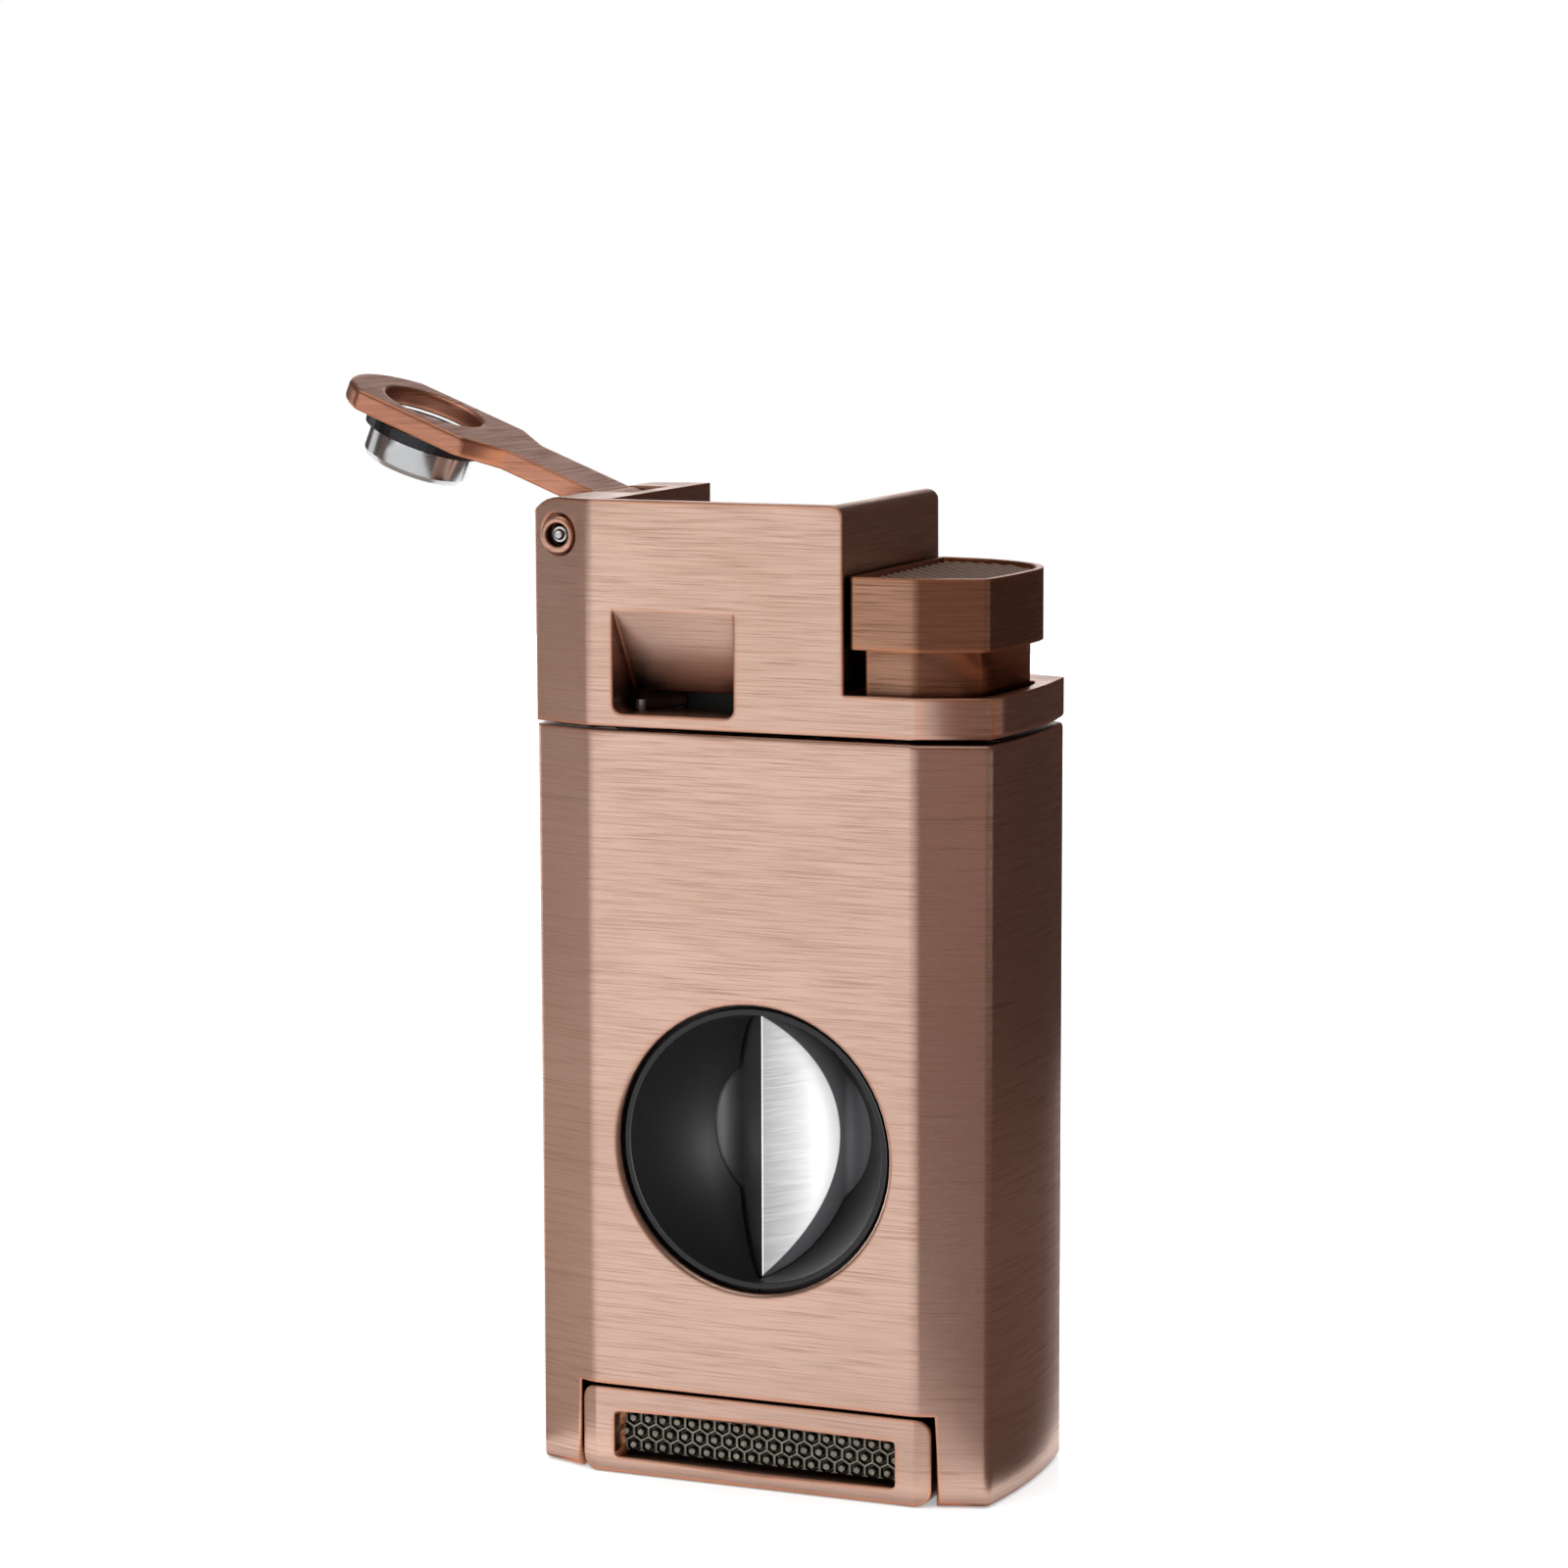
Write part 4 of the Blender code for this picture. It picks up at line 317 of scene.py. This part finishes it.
def raised_slab(across, along, height, floor, to_world):
    """A slab whose top is a height over a grid, with flat sides and a flat back.

    Top point = to_world(across, along, height); its rim drops straight to the floor.
    """
    rows, columns = across.shape
    top = to_world(across, along, height).reshape(-1, 3)
    index = np.arange(rows * columns).reshape(rows, columns)
    rim = np.concatenate([index[0, :-1], index[:-1, -1], index[-1, :0:-1], index[:0:-1, 0]])
    low = to_world(across, along, np.full_like(height, floor)).reshape(-1, 3)[rim]
    count = len(rim)
    below = rows * columns + np.arange(count)
    walls = np.stack([rim, np.roll(rim, -1), np.roll(below, -1), below], -1).tolist()
    return np.vstack([top, low]), grid_faces(rows, columns) + walls + [below.tolist()]


def on_skin(point):
    """True where a point lies on the casing's outer wall: flats, corner bands or bowed sides."""
    x, y = abs(point.x), abs(point.y)
    band = FLAT_Y - (x - BAND_X) * (FLAT_Y - SIDE_Y) / (SIDE_X - BAND_X)
    bow = SIDE_X + BOW * (1 - (y / SIDE_Y) ** 2)
    near = 0.06 * MM
    flat = abs(y - FLAT_Y) < near and x < BAND_X + 0.1 * MM
    return flat or abs(y - band) < near or abs(x - bow) < near


def casting(name, node, finish, body, width, pick=None, least=12.0, split=None):
    """A casting's copy with its outer edges rounded, as tumbling leaves them.

    Pick chooses the edges, so that no rounding folds over a rim that is narrower than it. Least
    is the smallest turn, in degrees, of an upright edge. Split is the x of a cut through the
    mesh that keeps a face with an opening in simple halves.
    """
    coplanar = math.radians(0.6)
    least_level = 30.0
    shortest = 0.42 * MM
    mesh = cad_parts[node].data.copy()
    shape = bmesh.new()
    shape.from_mesh(mesh)
    bmesh.ops.remove_doubles(shape, verts=shape.verts, dist=2e-6)
    bmesh.ops.dissolve_limit(shape, angle_limit=coplanar, verts=shape.verts, edges=shape.edges)
    if split is not None:
        everything = shape.verts[:] + shape.edges[:] + shape.faces[:]
        sliced = bmesh.ops.bisect_plane(shape, geom=everything, dist=1e-7,
                                        plane_co=(split, 0.0, 0.0), plane_no=(1.0, 0.0, 0.0))
        kept = {item for item in sliced["geom_cut"] if isinstance(item, bmesh.types.BMEdge)}
        loose = [edge for edge in shape.edges if edge not in kept and
                 len(edge.link_faces) == 2 and edge.calc_face_angle(1.0) < coplanar]
        bmesh.ops.dissolve_edges(shape, edges=loose, use_verts=True)
    layer = shape.edges.layers.float.new("bevel_weight_edge")
    for edge in shape.edges:
        if len(edge.link_faces) != 2 or not edge.is_convex:
            continue
        a, b = (corner.co for corner in edge.verts)
        turn, length = edge.calc_face_angle(0.0), edge.calc_length()
        upright = abs(b.z - a.z) > 0.99 * length
        if turn < math.radians(least if upright else least_level) or length < shortest:
            continue
        if pick is None or pick(a, b, upright):
            edge[layer] = 1.0
    shape.to_mesh(mesh)
    shape.free()
    piece = show_piece(name, mesh, finish, body, node, 40.0)
    rounding = piece.modifiers.new("Rounded edges", "BEVEL")
    rounding.limit_method = "WEIGHT"
    rounding.width = width
    rounding.segments = 3
    rounding.use_clamp_overlap = False
    weighted = piece.modifiers.new("Even shading", "WEIGHTED_NORMAL")
    weighted.keep_sharp = True
    return piece


# ---------------------------------------------------------------- castings

def body_edges(a, b, upright):
    """The body's outer edges: its uprights, base rim, seam rim and window rim."""
    if not (on_skin(a) and on_skin(b)):
        return False
    window = all(abs(math.hypot(p.x, p.z - WINDOW_Z) - WINDOW_RADIUS) < 0.1 * MM for p in (a, b))
    base = max(a.z, b.z) < 0.1 * MM
    seam = min(a.z, b.z) > SEAM_Z - 0.3 * MM and min(a.x, b.x) > -BAND_X - 0.1 * MM
    rear_left = min(a.x, b.x) < -19.0 * MM and max(a.y, b.y) > 8.0 * MM
    return (upright and not rear_left) or window or base or seam


def head_edges(a, b, upright):
    """The head's long uprights and the rim at its seam, away from the hinge block."""
    if not (on_skin(a) and on_skin(b)):
        return False
    seam = max(a.z, b.z) < SEAM_Z + 0.3 * MM and min(a.x, b.x) > -BAND_X - 0.1 * MM
    long_upright = upright and min(a.x, b.x) > -17.0 * MM and abs(b.z - a.z) > 4 * MM
    return seam or long_upright


def drawer_edges(a, b, upright):
    """The drawer's outer edges between its corner facets."""
    return on_skin(a) and on_skin(b) and max(abs(a.x), abs(b.x)) < BAND_X - 0.1 * MM


def button_edges(a, b, upright):
    """The button's outer uprights, above its neck."""
    inside = any(9.0 * MM < p.x < 19.3 * MM and abs(p.y) < 9.4 * MM for p in (a, b))
    return upright and min(a.z, b.z) > 68.6 * MM and not inside


casting("body_casting", "body_shell", COPPER, "casing", 0.40 * MM, body_edges,
        split=0.0)
casting("head_casting", "head_shell", COPPER, "casing", 0.40 * MM, head_edges,
        split=-6.7 * MM)
casting("drawer_casting", "drawer_cap", COPPER, "drawer", 0.30 * MM, drawer_edges,
        split=0.0)
casting("button_casting", "button_cap", PATINA, "button", 0.38 * MM, button_edges,
        split=13.0 * MM)
casting("punch_arm_casting", "punch_arm", RUBBED, "punch", 0.35 * MM,
        lambda a, b, upright: max(a.x, b.x) < -20.0 * MM)
DISH_PIECE = casting("cutter_dish", "cutter_cup", BLACK_SATIN, "casing",
                     0.08 * MM, lambda a, b, upright: max(a.y, b.y) < -9.0 * MM)
BLADE_PIECE = casting("blade", "v_blade", BLADE, "drawer", 0.10 * MM, least=50.0)


# ---------------------------------------------------------------- punch, hinge and jets

LIFT = math.radians(21.7)
ARM_OUT = (-math.cos(LIFT), 0.0, math.sin(LIFT))
ARM_UP = (math.sin(LIFT), 0.0, math.cos(LIFT))
PUNCH_REACH = 19.0 * MM
BORE = np.array((HINGE[0], 1.5 * MM, HINGE[2])) + PUNCH_REACH * np.array(ARM_OUT)
TO_THE_RIGHT = (1.0, 0.0, 0.0)


def ring_piece(name, node, profile, centre, axis, side, finish, body):
    """A turned piece from a closed profile of (radius, height) points in millimetres."""
    points, faces = turned_surface([(r * MM, h * MM) for r, h in profile], centre, axis, side)
    return new_piece(name, points, faces, finish, body, node)


ring_piece("punch_edge", "punch_tube",
           [(4.12, 0.69), (4.42, 0.69), (4.49, 0.62), (4.49, -2.30), (4.46, -2.38),
            (4.20, -2.79), (4.12, -2.79)],
           BORE, ARM_UP, ARM_OUT, PUNCH, "punch")
for end, part in ((-1, "hinge_bush_front"), (1, "hinge_bush_rear")):
    low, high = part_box(part)
    reach = abs((low.y if end < 0 else high.y) / MM)
    deep = reach - (high.y - low.y) / MM
    ring_piece("hinge_ring_" + part.split("_")[2], part,
               [(0.95, reach - 0.25), (1.02, reach - 0.02), (1.30, reach),
                (1.42, reach - 0.06), (1.50, reach - 0.2), (1.50, deep), (0.95, deep)],
               HINGE, (0.0, end, 0.0), TO_THE_RIGHT, COPPER, "casing")

low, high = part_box("hinge_pin")
tip = high.y / MM + 0.42
crown = [(0.02, tip), (0.30, tip - 0.03), (0.42, tip - 0.14), (0.46, tip - 0.30),
         (0.62, tip - 0.32), (0.65, tip - 0.42)]
ring_piece("hinge_pin_with_crowned_ends", "hinge_pin",
           crown + [(radius, -height) for radius, height in reversed(crown)],
           HINGE, (0.0, -1.0, 0.0), TO_THE_RIGHT, PUNCH, "casing")

for part in ("nozzle_left", "nozzle_right"):
    low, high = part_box(part)
    middle = ((low.x + high.x) / 2, (low.y + high.y) / 2, 0.0)
    top, foot = high.z / MM, low.z / MM
    ring_piece("jet_" + part.split("_")[1], part,
               [(0.05, top - 3.6), (1.4, top - 3.6), (1.4, top - 0.25), (1.65, top),
                (2.05, top), (2.2, top - 0.15), (2.2, foot), (0.05, foot)],
               middle, (0.0, 0.0, 1.0), TO_THE_RIGHT, BRASS, "casing")


# ---------------------------------------------------------------- grip insert and thumb pad

STUD_RISE = 0.42 * MM
RIB_RISE = 0.26 * MM


def stud_height(x, z):
    """Hexagonal studs in staggered rows inside a honeycomb net.

    Distance to the nearest stud, measured across flats, gives a raised stud near its middle
    and a raised net half way to its neighbours.
    """
    pitch = 1.32 * MM
    step = 2 * (pitch * math.sqrt(3) / 2)
    best = np.full_like(x, 1.0)
    for shift in (0.0, 0.5):
        cx = (np.round(x / pitch - shift) + shift) * pitch
        cz = (np.round(z / step - shift) + shift) * step
        dx, dz = np.abs(x - cx), np.abs(z - cz)
        flat = np.maximum(dx, dx / 2 + dz * math.sqrt(3) / 2)
        best = np.minimum(best, flat)
    stud = np.clip((0.34 * MM - best) / (0.08 * MM), 0, 1)
    net = np.clip((best - (pitch / 2 - 0.16 * MM)) / (0.07 * MM), 0, 1)
    return np.maximum(stud * STUD_RISE, net * 0.24 * MM)


low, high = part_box("grip_insert")
x, z = np.meshgrid(np.linspace(low.x, high.x, 440), np.linspace(low.z, high.z, 66),
                   indexing="ij")
face = -low.y - STUD_RISE
middle_z = (low.z + high.z) / 2
points, faces = raised_slab(x, z, face + stud_height(x, z - middle_z), -high.y,
                            lambda a, b, h: np.stack([a, -h, b], -1))
new_piece("studded_insert", points, faces, PEWTER, "drawer", "grip_insert")


def knurl_height(x, y):
    """Broad slanting ribs, each cut across by fine notches that lean the other way."""
    slant = (x + 0.75 * y) / (1.05 * MM)
    rib = 0.5 + 0.5 * np.cos(2 * np.pi * slant)
    notch = 0.5 + 0.5 * np.cos(2 * np.pi * (x - 1.6 * y) / (0.62 * MM))
    return RIB_RISE * rib ** 0.6 * (0.62 + 0.38 * notch)


low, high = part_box("grip_pad")
# The pad runs from its straight left side to its curved outline, level by level.
corners = np.array([v.co[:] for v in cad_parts["grip_pad"].data.vertices])
levels = np.unique(np.round(corners[:, 1], 5))
reach = np.array([corners[np.abs(corners[:, 1] - level) < 2e-5, 0].max() for level in levels])
u, y = np.meshgrid(np.linspace(0, 1, 150), np.linspace(low.y, high.y, 260), indexing="ij")
x = low.x + u * (np.interp(y, levels, reach) - low.x)
points, faces = raised_slab(x, y, high.z - RIB_RISE + knurl_height(x, y), low.z,
                            lambda a, b, h: np.stack([a, b, h], -1))
new_piece("knurled_pad", points, faces, RUBBER, "button", "grip_pad")


# ---------------------------------------------------------------- pieces kept from the frame

NODE_FINISHES = {
    "punch_collar": DARK_STEEL, "flame_plate": DARK_STEEL, "cutter_slider": BLACK_PLASTIC,
    "fuel_tank": CLEAR_PLASTIC, "fill_valve": BRASS, "fill_stem": BRASS,
    "flame_adjuster": BRASS, "gas_valve": BRASS, "valve_stem": BRASS,
    "chassis_plate": BLACK_PLASTIC, "burner_base": BLACK_PLASTIC, "burner_block": CERAMIC,
    "electrode_insulator": CERAMIC, "gas_tube": BLACK_PLASTIC, "ignition_lead": RED_PLASTIC,
    "button_carrier": BLACK_PLASTIC, "piezo_housing": BLACK_PLASTIC,
    "piezo_plunger": BLACK_PLASTIC, "punch_pocket_liner": BLACK_PLASTIC,
}
for name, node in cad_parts.items():
    for slot in node.material_slots:
        slot.material = NODE_FINISHES.get(name, PLAIN_STEEL)


# ---------------------------------------------------------------- floor, light and camera

def stage_sheet(name, corners, finish):
    """A flat sheet of the set."""
    mesh = bpy.data.meshes.new(name)
    mesh.from_pydata([tuple(map(float, corner)) for corner in corners], [],
                     [tuple(range(len(corners)))])
    mesh.materials.append(finish)
    sheet = bpy.data.objects.new(name, mesh)
    bpy.context.scene.collection.objects.link(sheet)
    return sheet


def reflected_card(name, corners, colour):
    """A matt card that only reflections see, to give the polished faces something to mirror."""
    card = stage_sheet(name, corners, new_finish(name + "_card", colour, 0.0, 0.9)[0])
    card.visible_camera = False
    card.visible_diffuse = False
    card.visible_shadow = False
    card.visible_transmission = False


def upright_corners(place, aim, width, height):
    """The corners of an upright card at a place, turned to face an aim."""
    centre, towards = np.array(place), np.array(aim) - np.array(place)
    across = np.array((-towards[1], towards[0], 0.0)) / np.hypot(towards[0], towards[1])
    up = np.array((0.0, 0.0, 1.0))
    return [centre + across * a * width / 2 + up * b * height / 2
            for a, b in ((-1, -1), (1, -1), (1, 1), (-1, 1))]


acrylic, _, shader = new_finish("white_studio_acrylic", "#F6F6F6", 0.0, 0.12)
shader.inputs["IOR"].default_value = 1.12
shader.inputs["Emission Color"].default_value = linear("#FFFFFF")
shader.inputs["Emission Strength"].default_value = 0.35
FLOOR_HALF = 0.6
FLOOR_Z = -0.0001
stage_sheet("studio_floor", [(a * FLOOR_HALF, b * FLOOR_HALF, FLOOR_Z)
                             for a, b in ((-1, -1), (1, -1), (1, 1), (-1, 1))], acrylic)

# Cards that lie just over the floor, on each side of the casing and in front of it.
CARD_Z = 0.0008
for name, outline, colour in (
        ("right_floor", [(0.0215, -0.0105), (0.032, -0.40), (0.40, -0.40), (0.40, 0.40),
                         (0.0215, 0.40)], "#64504A"),
        ("left_floor", [(-0.0215, 0.02), (-0.40, -0.02), (-0.40, -0.30),
                        (-0.0215, -0.018)], "#A89C94"),
        ("front_floor", [(-0.0215, -0.0185), (-0.38, -0.32), (-0.30, -0.50), (0.031, -0.40),
                         (0.0205, -0.0135)], "#F2F2F2")):
    reflected_card(name, [(x, y, CARD_Z) for x, y in outline], colour)

# Upright flags that darken what the bands and the sides mirror.
for name, place, aim, width, colour in (
        ("back_right_flag", (0.085, 0.125, 0.082), (0.02, 0.0, 0.082), 0.24, "#3E2C27"),
        ("front_right_flag", (0.105, -0.225, 0.082), (0.014, 0.0, 0.082), 0.17, "#806258"),
        ("left_flag", (-0.20, -0.085, 0.082), (-0.018, 0.0, 0.082), 0.05, "#6E5A52")):
    reflected_card(name, upright_corners(place, aim, width, 0.16), colour)


def soft_light(name, place, aim, width, height, radiance):
    """A softbox at a place that faces an aim, as bright all over as the radiance says."""
    lamp = bpy.data.lights.new(name, "AREA")
    lamp.shape = "RECTANGLE"
    lamp.size = width
    lamp.size_y = height
    lamp.energy = radiance * math.pi * width * height
    holder = bpy.data.objects.new(name, lamp)
    towards = Vector(aim) - Vector(place)
    holder.rotation_euler = towards.to_track_quat("-Z", "Y").to_euler()
    holder.location = place
    holder.visible_camera = False
    bpy.context.scene.collection.objects.link(holder)
    return holder


MIDDLE = (0.0, 0.0, 0.045)
soft_light("front_softbox", (-0.36, -0.72, 0.16), MIDDLE, 0.34, 0.50, 1.2)
# This one lights only the dish and the blade, which sit deep behind the window.
blade_lamp = soft_light("blade_softbox", (0.34, -0.40, 0.05), MIDDLE, 0.20, 0.24, 31.0)
only_blade = bpy.data.collections.new("lit_by_the_blade_softbox")
only_blade.objects.link(BLADE_PIECE)
only_blade.objects.link(DISH_PIECE)
blade_lamp.light_linking.receiver_collection = only_blade
soft_light("top_softbox", (-0.05, -0.05, 0.75), MIDDLE, 0.60, 0.60, 1.2)
soft_light("left_softbox", (-0.75, 0.10, 0.18), MIDDLE, 0.30, 0.40, 0.9)
soft_light("back_softbox", (-0.32, 0.72, 0.19), MIDDLE, 0.40, 0.38, 1.3)

world = bpy.data.worlds.new("pale_studio")
world.use_nodes = True
bpy.context.scene.world = world
tree = world.node_tree
ray = add_node(tree, "ShaderNodeLightPath")
air = tree.nodes["Background"]
# The air is white to the eye and grey to reflections, so that metal doesn't wash out.
seen = add_node(tree, "ShaderNodeMix",
                {"data_type": "RGBA", 6: linear("#FFFFFF"), 7: linear("#585450")},
                {0: ray.outputs["Is Glossy Ray"]})
tree.links.new(seen.outputs[2], air.inputs["Color"])
air.inputs["Strength"].default_value = 1.0

AZIMUTH, ELEVATION, ROLL = math.radians(22.88), math.radians(7.68), math.radians(-0.17)
TARGET = Vector((-0.0015, 0.0, 0.0563))
DISTANCE = 0.3762
outwards = Vector((math.sin(AZIMUTH) * math.cos(ELEVATION),
                   -math.cos(AZIMUTH) * math.cos(ELEVATION), math.sin(ELEVATION)))
lens = bpy.data.cameras.new("studio_camera")
lens.lens = 105.6
lens.sensor_width = 36.0
lens.clip_start = 0.01
camera = bpy.data.objects.new("studio_camera", lens)
turn = (-outwards).to_track_quat("-Z", "Y").to_matrix().to_4x4() @ Matrix.Rotation(ROLL, 4, "Z")
camera.matrix_world = Matrix.Translation(TARGET + outwards * DISTANCE) @ turn
bpy.context.scene.collection.objects.link(camera)
bpy.context.scene.camera = camera
bpy.context.scene.view_settings.view_transform = "Standard"
